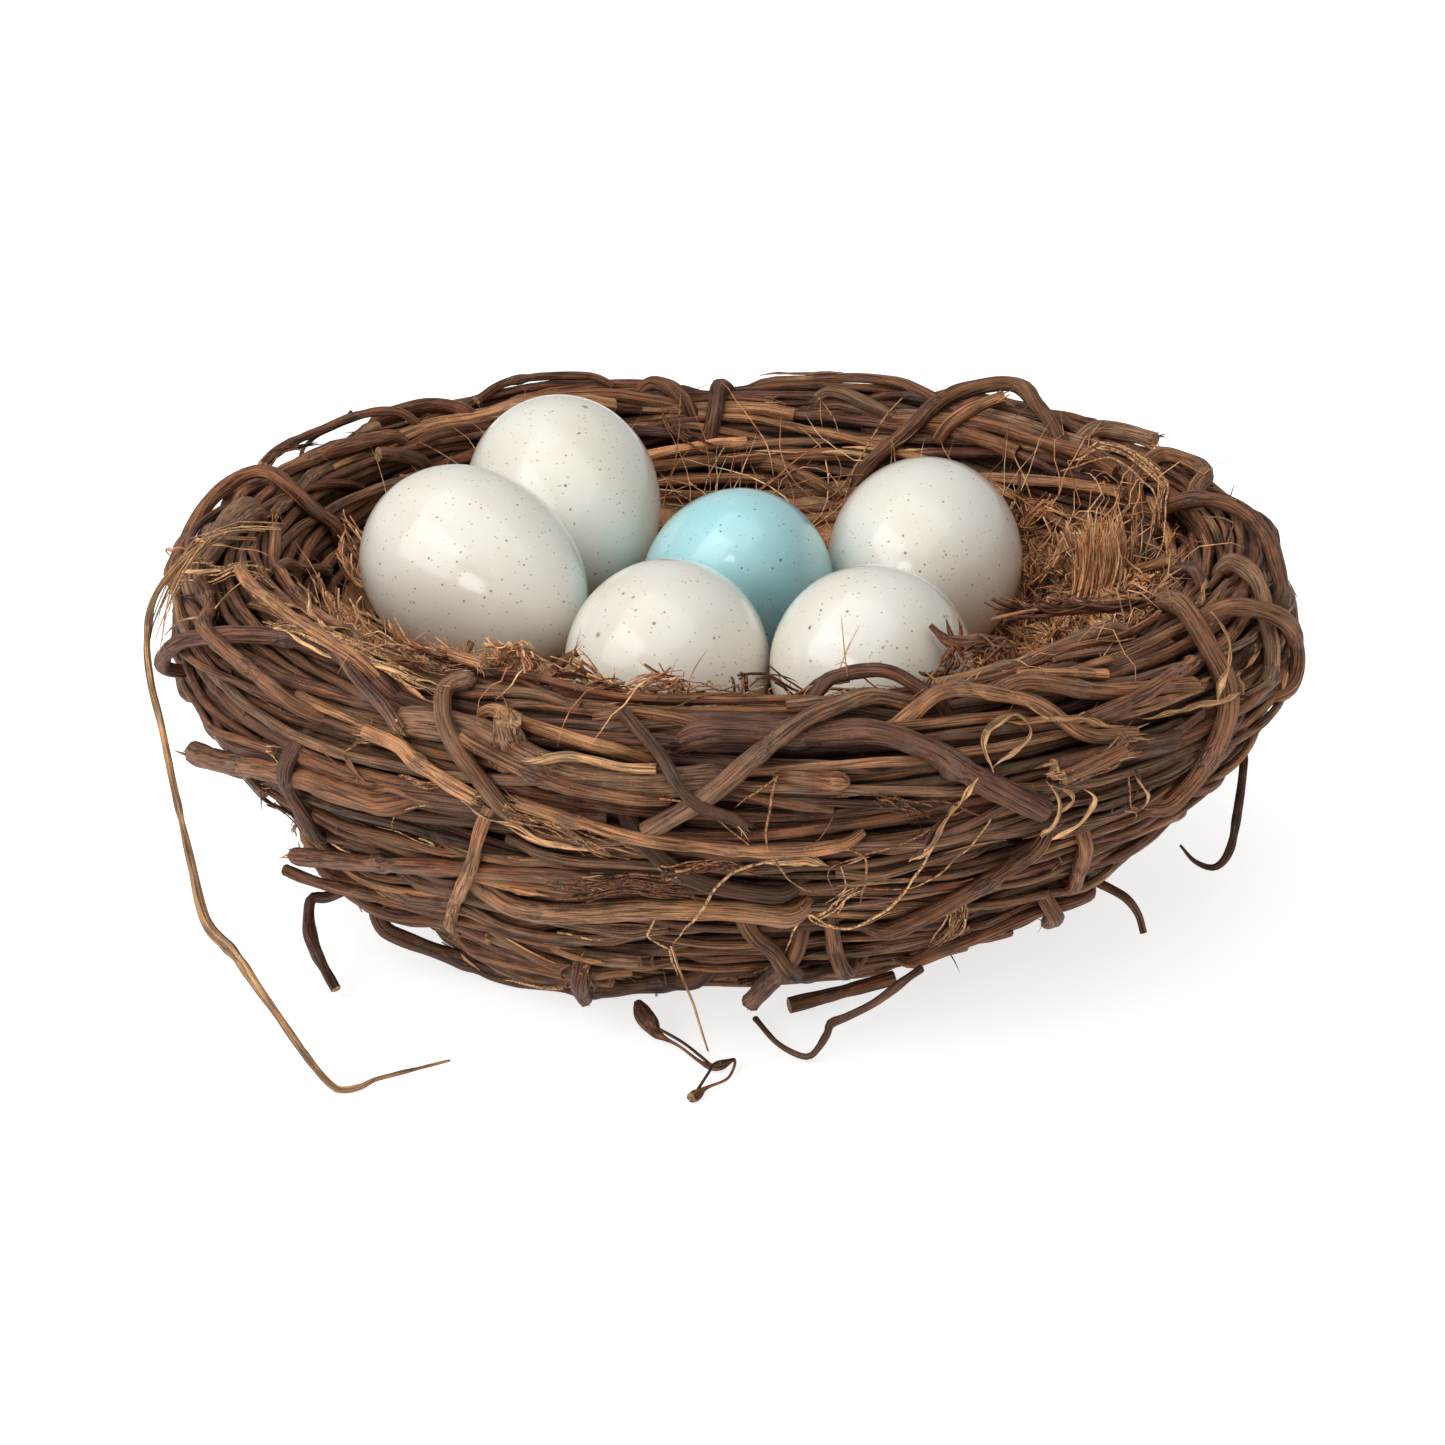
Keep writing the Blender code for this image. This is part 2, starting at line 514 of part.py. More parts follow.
def make_tuft(finish):
    """A tuft of upright coir: a flattened cone frustum, wider at its top."""
    foot, lean = Vector(TUFT_FOOT), Vector(TUFT_LEAN)
    shape = bmesh.new()
    bmesh.ops.create_cone(
        shape, cap_ends=True, segments=TUFT_SIDES, radius1=TUFT_RADII[0],
        radius2=TUFT_RADII[1], depth=lean.length,
    )
    mesh = bpy.data.meshes.new("fibre_tuft")
    shape.to_mesh(mesh)
    shape.free()
    tuft = add_object("fibre_tuft", mesh, finish)
    stand = lean.to_track_quat("Z", "Y").to_matrix().to_4x4()
    flat = Matrix.Diagonal((TUFT_FLATNESS, 1.0, 1.0, 1.0))
    tuft.matrix_world = Matrix.Translation(foot + lean / 2) @ stand @ flat
    return tuft


for old in list(bpy.data.objects):
    bpy.data.objects.remove(old, do_unlink=True)

PARTS = bpy.data.collections.new("bird nest with eggs")
bpy.context.scene.collection.children.link(PARTS)

make_wall(BROWN_BARK)
make_lining(COIR)
make_tuft(COIR)
for egg_name in EGGS:
    make_egg(egg_name, BLUE_GLAZE if egg_name == "egg_blue" else CREAM_GLAZE)
make_vines()
make_loose_ends()
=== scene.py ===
"""A bird's nest of wound grapevine with six eggs in it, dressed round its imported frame. Metres, +Z up.

A place on the wall is an angle, a station and a height. The angle is 0 at the front (-Y), grows to
the right (+X) and is 180 degrees at the back. The station is the length along the wall's outline,
from the middle of the base, out over the belly and the rim, and down into the hollow. The height is
how far the place is off the outline, less than 0 inside the wall.

The wound vines are laid one by one on a pile, which remembers how high they stand everywhere, so
each vine rests on the ones below it. The single vines, twigs, peeled strips and fibres come last.
"""

import math

import bpy
import numpy as np
from mathutils import Matrix, Vector


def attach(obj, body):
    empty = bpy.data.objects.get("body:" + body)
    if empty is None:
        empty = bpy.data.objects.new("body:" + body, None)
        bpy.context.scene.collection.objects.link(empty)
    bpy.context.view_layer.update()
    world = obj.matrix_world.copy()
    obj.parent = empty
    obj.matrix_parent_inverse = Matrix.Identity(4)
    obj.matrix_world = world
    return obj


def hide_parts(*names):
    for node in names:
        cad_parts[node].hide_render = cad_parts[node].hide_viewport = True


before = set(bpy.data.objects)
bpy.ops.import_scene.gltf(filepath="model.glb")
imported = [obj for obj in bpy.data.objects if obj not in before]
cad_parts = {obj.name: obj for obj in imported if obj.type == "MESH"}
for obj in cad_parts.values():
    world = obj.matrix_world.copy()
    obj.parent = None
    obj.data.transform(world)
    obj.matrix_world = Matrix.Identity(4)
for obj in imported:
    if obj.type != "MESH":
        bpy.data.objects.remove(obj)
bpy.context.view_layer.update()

# ------------------------------------------------------------------ the wall's outline

WALL_OUTLINE = (  # radius and height, a smooth curve goes through them
    (0, 0), (0.030, 0), (0.056, 0), (0.072, 0.005), (0.089, 0.017), (0.104, 0.032), (0.116, 0.046),
    (0.122, 0.059), (0.1205, 0.070), (0.115, 0.0785), (0.107, 0.082), (0.099, 0.0795), (0.090, 0.070),
    (0.079, 0.058), (0.062, 0.0476), (0.036, 0.0405), (0.015, 0.038), (0, 0.0375),
)
OUTLINE_PIECES = 24
LINING_EDGE = 0.2165  # the station at which the coir lining begins


def smooth(points, pieces):
    """Points on the Catmull-Rom curve through the given ones, with so many pieces in each stretch."""
    knots = np.array(points, float)
    knots = np.vstack([2 * knots[0] - knots[1], knots, 2 * knots[-1] - knots[-2]])
    found = []
    for before, start, end, after in zip(knots, knots[1:], knots[2:], knots[3:]):
        for t in np.arange(pieces) / pieces:
            found.append(
                start
                + 0.5 * t * (end - before)
                + t**2 * (before - 2.5 * start + 2 * end - 0.5 * after)
                + t**3 * (1.5 * start - 0.5 * before - 1.5 * end + 0.5 * after)
            )
    return np.array(found + [knots[-2]])


def lengths(points):
    """The length along a row of points up to each of them."""
    return np.concatenate([[0], np.cumsum(np.linalg.norm(np.diff(points, axis=0), axis=1))])


def unit(vectors):
    """The vectors with a length of 1."""
    return vectors / np.maximum(np.linalg.norm(vectors, axis=-1, keepdims=True), 1e-12)


LINE = smooth(WALL_OUTLINE, OUTLINE_PIECES)
STATIONS = lengths(LINE)
RUN = unit(np.gradient(LINE, axis=0))


def on_wall(angle, station, height):
    """Places for arrays of angles in degrees, stations and heights, and the ways out of the wall."""
    radius, level = (np.interp(station, STATIONS, LINE[:, axis]) for axis in (0, 1))
    out, up = np.interp(station, STATIONS, RUN[:, 1]), -np.interp(station, STATIONS, RUN[:, 0])
    sine, cosine = np.sin(np.radians(angle)), np.cos(np.radians(angle))
    ways = np.stack([out * sine, -out * cosine, up], axis=-1)
    places = np.stack([radius * sine, -radius * cosine, level], axis=-1)
    return places + ways * np.asarray(height)[..., None], ways


def ring_radius(station, least):
    """How far from the nest's middle a station is, but no less than so much."""
    return np.maximum(np.interp(station, STATIONS, LINE[:, 0]), least)


def read_at(wanted, run, rows, axis=-1):
    """Rows that are known at the lengths in run, read at the wanted lengths."""
    return np.stack([np.interp(wanted, run, column) for column in rows.T], axis=axis)


def evenly(rows, pitch, least=8):
    """Angle, station and height at even steps along close rows of them."""
    run = lengths(on_wall(*rows.T)[0])
    return read_at(np.linspace(0, run[-1], max(least, round(run[-1] / pitch)) + 1), run, rows, 0)


def spaced(route, pitch):
    """Angle, station and height at even steps along a route, whose rows may leave out a height of 0."""
    rows = np.array([(*row, 0)[:3] for row in route], float)
    rows[:, 0] = np.unwrap(rows[:, 0], period=360)
    return evenly(smooth(rows, 12), pitch, 5)


# ------------------------------------------------------------------ the pile of laid vines

PILE_DEPTH = 0.0095  # the pile starts this deep inside the outline
PILE_ANGLES = 1200
PILE_ROOF = 0.05
PILE_PITCH = 0.0006  # of its stations
PILE_ROWS = int(STATIONS[-1] / PILE_PITCH) + 8
DISC = np.array([
    (across, along) for across in np.linspace(-0.95, 0.95, 9) for along in np.linspace(-0.95, 0.95, 9)
    if math.hypot(across, along) < 1
])
DISC_CAP = np.sqrt(1 - (DISC**2).sum(axis=1))  # how far a ball's top stands over its middle there


class Pile:
    """Over every angle and station, how high the laid vines stand, and what they must stay under."""

    def __init__(self, level=-PILE_DEPTH):
        self.top = np.full((PILE_ANGLES, PILE_ROWS), level)
        self.roof = np.full((PILE_ANGLES, PILE_ROWS), PILE_ROOF)

    def cells(self, angle, station, radius):
        """The columns and rows under a ball of such a radius at each place."""
        ring = ring_radius(station, 0.010)
        turn = np.radians(angle)[:, None] + radius[:, None] * DISC[:, 0] / ring[:, None]
        column = (turn / math.tau * PILE_ANGLES).astype(int) % PILE_ANGLES
        row = ((station[:, None] + radius[:, None] * DISC[:, 1]) / PILE_PITCH).astype(int)
        return column, np.clip(row, 0, PILE_ROWS - 1)

    def rest(self, angle, station, radius):
        """The height at which the middle of a vine rests on what is laid already."""
        return (self.top[self.cells(angle, station, radius)] + radius[:, None] * DISC_CAP).max(axis=1)

    def hang(self, angle, station, radius):
        """The height at which the middle of a vine touches the roof from below."""
        return (self.roof[self.cells(angle, station, radius)] - radius[:, None] * DISC_CAP).min(axis=1)

    def add(self, angle, station, height, radius):
        tops = height[:, None] + radius[:, None] * DISC_CAP
        np.maximum.at(self.top, self.cells(angle, station, radius), tops)

    def add_roof(self, angle, station, height, radius):
        under = height[:, None] - radius[:, None] * DISC_CAP
        np.minimum.at(self.roof, self.cells(angle, station, radius), under)

    def height(self, angle, station):
        """How high the laid vines stand at each place."""
        column = (np.radians(angle) / math.tau * PILE_ANGLES).astype(int) % PILE_ANGLES
        row = np.clip((station / PILE_PITCH).astype(int), 0, PILE_ROWS - 1)
        return self.top[column, row]


def windows(values, reach):
    """For each value, those within so many steps of it."""
    reach = max(1, min(round(reach), (len(values) - 1) // 2))
    return np.lib.stride_tricks.sliding_window_view(np.pad(values, reach, mode="edge"), 2 * reach + 1)


def bridged(values, hold, reach):
    """A smooth row of values over the given ones: a stiff vine, which presses a little into bumps."""
    highest = windows(values, hold).max(axis=1)
    return windows(windows(highest, reach).mean(axis=1), reach / 2).mean(axis=1)


def ripple(rng, x, shortest, longest, waves=5):
    """A wavering value of about -1 to 1 along x, with waves of the given lengths."""
    total = 0
    for size in np.geomspace(shortest, longest, waves):
        total = total + np.sin(math.tau * x / size + rng.uniform(0, math.tau))
    return total / math.sqrt(waves)


# ------------------------------------------------------------------ stock: the mesh of one piece

FLOOR_GAP = 0.0002  # nothing of the nest comes nearer to the floor


class Stock:
    """Points and faces of one piece, with the tone and the grain of each point."""

    def __init__(self):
        self.points, self.tones, self.grains = [], [], []
        self.quads, self.triangles, self.count = [], [], 0

    def add(self, points, tones, grains, quads=(), triangles=()):
        points[:, 2] = np.maximum(points[:, 2], FLOOR_GAP)
        self.points.append(points)
        self.tones.append(np.broadcast_to(tones, points.shape))
        self.grains.append(grains)
        self.quads.append(np.array(quads, int).reshape(-1, 4) + self.count)
        self.triangles.append(np.array(triangles, int).reshape(-1, 3) + self.count)
        self.count += len(points)

    def make(self, name, finish, slot, *nodes):
        """Makes the piece, which takes the place of the nodes."""
        mesh = bpy.data.meshes.new(name)
        faces = np.concatenate(self.quads).tolist() + np.concatenate(self.triangles).tolist()
        mesh.from_pydata(np.concatenate(self.points).tolist(), [], faces)
        tones = np.concatenate(self.tones)
        tones = np.hstack([tones, np.ones((len(tones), 1))]).ravel()
        mesh.attributes.new("tone", "FLOAT_COLOR", "POINT").data.foreach_set("color", tones)
        grains = np.concatenate(self.grains).ravel()
        mesh.attributes.new("grain", "FLOAT_VECTOR", "POINT").data.foreach_set("vector", grains)
        mesh.shade_smooth()
        mesh.materials.append(finish)
        piece = bpy.data.objects.new(name, mesh)
        bpy.context.scene.collection.objects.link(piece)
        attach(piece, "root")
        if nodes:
            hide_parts(*nodes)


def ring_faces(rings, sides):
    """Quads between rings of points that follow one another."""
    ring, side = np.meshgrid(np.arange(rings - 1), np.arange(sides), indexing="ij")
    start, after = ring * sides + side, ring * sides + (side + 1) % sides
    return np.stack([start, after, after + sides, start + sides], axis=-1).reshape(-1, 4)


GRAIN_STRETCH = 0.03  # the grain runs on so much slower along a vine than across it
DARK, LIGHT = 0.004, 0.9  # the ends of the range of tones


def frames(places, ways):
    """The direction along a path, and the out and side directions across it."""
    along = unit(np.gradient(places, axis=0))
    side = unit(np.cross(along, ways))
    return along, np.cross(side, along), side


def sweep(stock, places, ways, out_size, side_size, tones, rng, end_tones=(None, None)):
    """A closed bar along places: its section's (out, side) sizes at each place, with capped ends."""
    along, out, side = frames(places, ways)
    count, sides = out_size.shape
    points = places[:, None] + out_size[..., None] * out[:, None] + side_size[..., None] * side[:, None]
    run = np.broadcast_to(lengths(places)[:, None] * GRAIN_STRETCH, out_size.shape)
    grains = np.stack([out_size, side_size, run], axis=-1) + rng.uniform(0, 1, 3)
    tones = np.broadcast_to(tones, points.shape)
    stock.add(points.reshape(-1, 3), tones.reshape(-1, 3), grains.reshape(-1, 3), ring_faces(count, sides))
    for end, tone in zip((0, -1), end_tones):
        ring = points[end]
        middle = ring.mean(axis=0)
        cap = np.vstack([ring, middle + (ring - middle) * 0.55, middle])
        grain = np.vstack([grains[end], grains[end], grains[end].mean(axis=0)])
        if tone is None:
            tone = tones[end].mean(axis=0) * 0.6
        shade = np.array(tone) * np.concatenate([np.full(sides, 0.7), np.ones(sides), [0.75]])[:, None]
        quads = ring_faces(2, sides)
        fan = np.stack([quads[:, 3], quads[:, 2], np.full(sides, 2 * sides)], axis=-1)
        if end == 0:
            quads, fan = quads[:, ::-1], fan[:, ::-1]
        stock.add(cap, shade, grain, quads, fan)


# ------------------------------------------------------------------ bark

BARK = {  # linear RGB
    "dark": (0.056, 0.025, 0.016),
    "purple": (0.092, 0.040, 0.028),
    "brown": (0.155, 0.065, 0.031),
    "red": (0.148, 0.056, 0.028),
    "grey": (0.190, 0.106, 0.062),
    "tan": (0.295, 0.142, 0.064),
    "pale": (0.430, 0.240, 0.110),
    "straw": (0.490, 0.285, 0.135),
}
BROKEN = (0.40, 0.23, 0.12)  # wood where a vine is cut or torn
WOUND_BARKS = ("brown", "red", "purple", "grey", "tan", "dark", "pale")
WOUND_SHARES = (0.30, 0.17, 0.15, 0.15, 0.13, 0.08, 0.02)
WORN = 0.40  # how much of a second bark shows in patches on the first


def seeded(name):
    """The random numbers of a named piece."""
    return np.random.default_rng(sum(map(ord, name)))


def bark_tones(rng, bark, run, turn):
    """The tone of a vine at every length along it and angle round it."""
    base = np.array(BARK[bark]) * rng.uniform(0.72, 1.28)
    other = np.array(BARK[WOUND_BARKS[rng.integers(0, 5)]])
    patch = ripple(rng, run[:, None] + 0.004 * np.sin(turn + rng.uniform(0, 6)), 0.012, 0.090)
    patch = np.clip(0.5 + 0.6 * patch + 0.35 * np.cos(turn + rng.uniform(0, 6)), 0, 1)[..., None]
    light = 1 + 0.16 * ripple(rng, run, 0.006, 0.060)[:, None, None]
    streaks = 1 + 0.10 * np.cos(3 * turn + rng.uniform(0, 6)) + 0.08 * np.cos(5 * turn + rng.uniform(0, 6))
    return (base + (other - base) * patch * WORN) * light * streaks[..., None]


class Vine:
    """A vine's form along its own length: its thickness, its flutes, its knots and its bark.

    ribs is how deep its flutes are, knots is about how far apart its knots are, taper is how much it
    thins to its last end, and flat is how much wider than high it is.
    """

    def __init__(self, rng, bark, length, pitch, radius, sides, ribs, knots, taper, flat):
        self.rng, self.bark = rng, bark
        self.sides, self.ribs, self.flat = sides, ribs, flat
        count = max(5, round(length / pitch)) + 1
        self.run = np.linspace(0, length, count)
        self.radius = radius * (1 + 0.07 * ripple(rng, self.run, 0.010, 0.080))
        self.radius *= np.linspace(1 + taper, 1 - taper, count)
        # painted light and shade: a share of the bark's tone at each length, 1 unless a caller paints some
        self.shade = np.ones(count)
        self.knots = []
        where = rng.uniform(0.2, 1.0) * knots
        while where < length - 0.006:
            self.knots.append((where, rng.uniform(0, math.tau), rng.uniform(0.10, 0.30)))
            where += knots * rng.uniform(0.7, 1.4)

    def section(self):
        """The section's radius at each length and angle, and the angles."""
        rng, run = self.rng, self.run[:, None]
        turn = np.linspace(0, math.tau, self.sides, endpoint=False)[None, :]
        shape = np.ones((len(self.run), self.sides))
        for times, size in ((1, 0.05), (2, 0.07), (3, 0.05), (4, 0.035)):
            shape += size * np.cos(times * turn + rng.uniform(0, 6) + rng.uniform(-25, 25) * run)
        if self.ribs:
            wave = np.cos((self.sides // 2) * turn + 8 * run)
            shape += self.ribs * wave * (0.7 + 0.3 * ripple(rng, run, 0.01, 0.05))
        for where, around, size in self.knots:
            near = np.exp(-(((run - where) / 0.0017) ** 2))
            shape += near * size * (0.45 + 0.9 * np.maximum(0, np.cos(turn - around)) ** 2)
            shape -= 0.5 * size * np.exp(-(((run - where - 0.0035) / 0.0015) ** 2))
        return shape * self.radius[:, None], turn

    def strays(self, size):
        """How far the vine strays to one side and outward: it is crooked, more so at its knots."""
        found = []
        for _ in range(2):
            wave = 0.5 * size * ripple(self.rng, self.run, 0.018, 0.090, 4)
            bends = [0.0] + [where for where, _, _ in self.knots] + [self.run[-1]]
            offs = self.rng.normal(0, size, len(bends))
            found.append(wave + np.interp(self.run, bends, offs))
        return found

    def knob(self, swelling, *end_sizes):
        """Swells the first end and rounds it off."""
        self.radius *= 1 + swelling * np.exp(-((self.run / 0.003) ** 2))
        self.radius[:len(end_sizes)] *= end_sizes

    def build(self, stock, places, ways, ends):
        shape, turn = self.section()
        tones = bark_tones(self.rng, self.bark, self.run, turn)
        for where, _, _ in self.knots:
            near = np.exp(-(((self.run - where) / 0.0022) ** 2))[:, None, None]
            tones = tones * (1 - 0.35 * near) + 0.02 * near
        # the painted light and shade
        tones = tones * self.shade[:, None, None]
        end_tones = []
        for end, side in zip(ends, (0, -1)):
            if end == "torn":
                self.tear(stock, places, ways, side)
            wood = np.array(BROKEN) * self.rng.uniform(0.7, 1.3)
            end_tones.append(wood if end in ("cut", "torn") else None)
        wide, high = 1 + self.flat, 1 - self.flat
        sweep(stock, places, ways, shape * np.cos(turn) * high, shape * np.sin(turn) * wide,
              np.clip(tones, DARK, LIGHT), self.rng, end_tones)

    def tear(self, stock, places, ways, side):
        """Splinters at a torn end, in line with the vine."""
        along, out, across = frames(places, ways)
        aim = along[side] * (1 if side else -1)
        radius = self.radius[side]
        for _ in range(self.rng.integers(7, 12)):
            turn, share = self.rng.uniform(0, math.tau), self.rng.uniform(0.3, 0.95)
            spoke = math.cos(turn) * out[side] + math.sin(turn) * across[side]
            root = places[side] + radius * share * spoke
            lean = aim + 0.28 * self.rng.normal(size=3)
            tone = np.array(BROKEN) * self.rng.uniform(0.55, 1.5)
            splinter(stock, self.rng, root - aim * 0.002, unit(lean),
                     self.rng.uniform(0.0025, 0.0065), radius * self.rng.uniform(0.10, 0.28), tone)


def splinter(stock, rng, root, aim, length, radius, tone):
    """A short pointed bar."""
    steps = np.linspace(0, 1, 5)
    bend = 0.25 * length * unit(rng.normal(size=3))
    places = root + aim * (length * steps)[:, None] + bend * (steps**2)[:, None]
    turn = np.linspace(0, math.tau, 4, endpoint=False)[None, :]
    size = radius * (1 - 0.92 * steps**1.5)[:, None]
    ways = np.broadcast_to(unit(rng.normal(size=3)), places.shape)
    sweep(stock, places, ways, size * np.cos(turn) * 0.6, size * np.sin(turn), np.array(tone), rng)


def ribbon(stock, rng, places, ways, width, thick, tone, cup=0.25):
    """A strip of peeled bark: flat, a little cupped, and narrower towards its ends."""
    steps = np.linspace(0, 1, len(places))
    taper = np.clip(np.minimum(steps, 1 - steps) * 5, 0.12, 1)
    taper = taper * (1 + 0.18 * ripple(rng, steps, 0.15, 0.9, 4))
    turn = np.linspace(0, math.tau, 8, endpoint=False)[None, :]
    side = np.sin(turn) * width / 2 * taper[:, None]
    out = np.cos(turn) * thick / 2 + cup * width * (1 - np.sin(turn) ** 2) * taper[:, None]
    shade = 1 + 0.15 * ripple(rng, steps, 0.1, 0.8, 4)[:, None, None]
    shade = shade * (1 + 0.12 * np.sin(turn + 1))[..., None]
    sweep(stock, places, ways, out, side, np.array(tone) * shade, rng)


def fibres(stock, rng, paths, radii, tones, sides=3):
    """Many thin fibres at once. paths is (fibres, places, 3); radii and tones have a row for each."""
    count, steps = paths.shape[:2]
    along = unit(np.gradient(paths, axis=1))
    out = unit(np.cross(along, unit(rng.normal(size=(count, 1, 3)))))
    side = np.cross(along, out)
    turn = np.linspace(0, math.tau, sides, endpoint=False)
    taper = np.clip(1.25 - np.linspace(0, 1.05, steps) ** 3, 0.05, 1)
    size = radii[:, None, None, None] * taper[None, :, None, None]
    points = paths[:, :, None] + size * (
        out[:, :, None] * np.cos(turn)[:, None] + side[:, :, None] * np.sin(turn)[:, None]
    )
    shade = tones[:, None, None] * (1 + 0.06 * rng.normal(size=(count, steps, 1, 1)))
    shade = np.clip(np.broadcast_to(shade, points.shape), DARK, LIGHT)
    grains = points * 0.5 + rng.uniform(0, 1, (count, 1, 1, 3))
    first = np.arange(count)[:, None] * steps * sides
    quads = (ring_faces(steps, sides) + first[..., None]).reshape(-1, 4)
    starts = first + np.arange(sides)[::-1]
    finishes = first + (steps - 1) * sides + np.arange(sides)
    ends = np.vstack([starts, finishes])
    if sides == 4:
        quads, ends = np.vstack([quads, ends]), ()
    stock.add(points.reshape(-1, 3), shade.reshape(-1, 3), grains.reshape(-1, 3), quads, ends)


# ------------------------------------------------------------------ finishes

class Socket:
    """A shader socket. Python's operators on it add Math nodes."""

    def __init__(self, finish, socket):
        self.finish, self.socket = finish, socket

    def maths(self, operation, *values):
        return self.finish.node("ShaderNodeMath", {"operation": operation}, dict(enumerate(values)))

    def __add__(self, other):
        return self.maths("ADD", self, other)

    def __sub__(self, other):
        return self.maths("SUBTRACT", self, other)

    def __mul__(self, other):
        return self.maths("MULTIPLY", self, other)

    __radd__ = __add__
    __rmul__ = __mul__

    def between(self, low, high):
        """0 below low, 1 above high, and smooth between them."""
        limits = {"Value": self, "From Min": low, "From Max": high}
        return self.finish.node("ShaderNodeMapRange", {"interpolation_type": "SMOOTHSTEP"}, limits)


class Finish:
    """A material on the Principled shader."""

    def __init__(self, name, **values):
        self.material = bpy.data.materials.new(name)
        self.material.use_nodes = True
        self.tree = self.material.node_tree
        self.shader = self.tree.nodes["Principled BSDF"]
        self.feed(self.shader, values)

    def feed(self, node, values):
        for key, value in values.items():
            entry = node.inputs[key if isinstance(key, int) else key.replace("_", " ")]
            if isinstance(value, Socket):
                self.tree.links.new(value.socket, entry)
            elif entry.type == "RGBA" and len(value) == 3:
                entry.default_value = (*value, 1.0)
            else:
                entry.default_value = value

    def node(self, kind, settings=None, values=None, output=0):
        made = self.tree.nodes.new(kind)
        for key, value in (settings or {}).items():
            setattr(made, key, value)
        self.feed(made, values or {})
        return Socket(self, made.outputs[output])

    def attribute(self, name, output):
        return self.node("ShaderNodeAttribute", {"attribute_name": name}, output=output)

    def noise(self, vector, scale, detail=2.0, roughness=0.5):
        values = {"Vector": vector, "Scale": scale, "Detail": detail, "Roughness": roughness}
        return self.node("ShaderNodeTexNoise", None, values, "Fac")

    def scaled(self, vector, size):
        return self.node("ShaderNodeVectorMath", {"operation": "SCALE"}, {0: vector, "Scale": size})

    def mix(self, factor, first, second, blend="MIX"):
        return self.node("ShaderNodeMix", {"data_type": "RGBA", "blend_type": blend},
                         {0: factor, 6: first, 7: second}, 2)

    def bump(self, height, strength, distance):
        values = {"Height": height, "Strength": strength, "Distance": distance}
        return self.node("ShaderNodeBump", None, values)


PALE_LINE = (0.36, 0.22, 0.13)


def bark_finish():
    """Bark with fine grooves along each vine, redder, greyer or worn in patches."""
    bark = Finish("vine bark", Specular_IOR_Level=0.20)
    tone, grain = bark.attribute("tone", "Color"), bark.attribute("grain", "Vector")
    place = bark.node("ShaderNodeTexCoord", output="Object")
    grooves = bark.noise(grain, 4200, 2.0, 0.60)
    ridges = bark.noise(grain, 2300, 2.0, 0.55)
    flutes = bark.noise(grain, 950, 2.0, 0.5)
    bands = bark.noise(grain, 420, 2.0, 0.5)
    patches = bark.noise(place, 130, 3.0, 0.6)
    rust = bark.noise(place, 330, 3.0, 0.6)
    dust = bark.noise(place, 2000, 2.0, 0.7)
    light = (grooves * 0.42 + ridges * 0.40 + flutes * 0.18).between(0.42, 0.58)
    colour = bark.mix(light, bark.scaled(tone, 0.33), bark.scaled(tone, 1.66))
    crest = bark.mix(0.35, bark.scaled(tone, 2.3), PALE_LINE)
    colour = bark.mix(grooves.between(0.58, 0.70) * 0.55, colour, crest)
    band = bark.mix(0.5, colour, (0.25, 0.128, 0.062))
    colour = bark.mix(bands.between(0.42, 0.62) * 0.40, colour, band)
    colour = bark.mix(rust.between(0.52, 0.66) * 0.50, colour, (1.12, 0.76, 0.58), "MULTIPLY")
    colour = bark.mix(patches.between(0.55, 0.68) * 0.28, colour, (0.21, 0.140, 0.098))
    colour = bark.mix(ridges.between(0.39, 0.32) * 0.70, colour, bark.scaled(tone, 0.18))
    colour = bark.mix(dust.between(0.60, 0.72) * 0.40, colour, bark.scaled(tone, 2.4))
    colour = bark.mix(dust.between(0.40, 0.30) * 0.45, colour, bark.scaled(tone, 0.35))
    height = grooves * 0.30 + ridges * 0.42 + flutes * 0.18 + dust * 0.10
    bark.feed(bark.shader, {
        "Base Color": colour,
        "Roughness": 0.52 + 0.26 * patches,
        "Normal": bark.bump(height, 1.0, 0.0008),
    })
    return bark.material


def coir_finish():
    """Coir strands with fine streaks along them."""
    coir = Finish("coir", Specular_IOR_Level=0.35)
    tone, grain = coir.attribute("tone", "Color"), coir.attribute("grain", "Vector")
    strands = coir.noise(grain, 900, 3.0, 0.65)
    coir.feed(coir.shader, {
        "Base Color": coir.mix(strands.between(0.3, 0.7), coir.scaled(tone, 0.6), coir.scaled(tone, 1.3)),
        "Roughness": 0.60 + 0.2 * strands,
        "Normal": coir.bump(strands, 0.6, 0.0008),
    })
    return coir.material


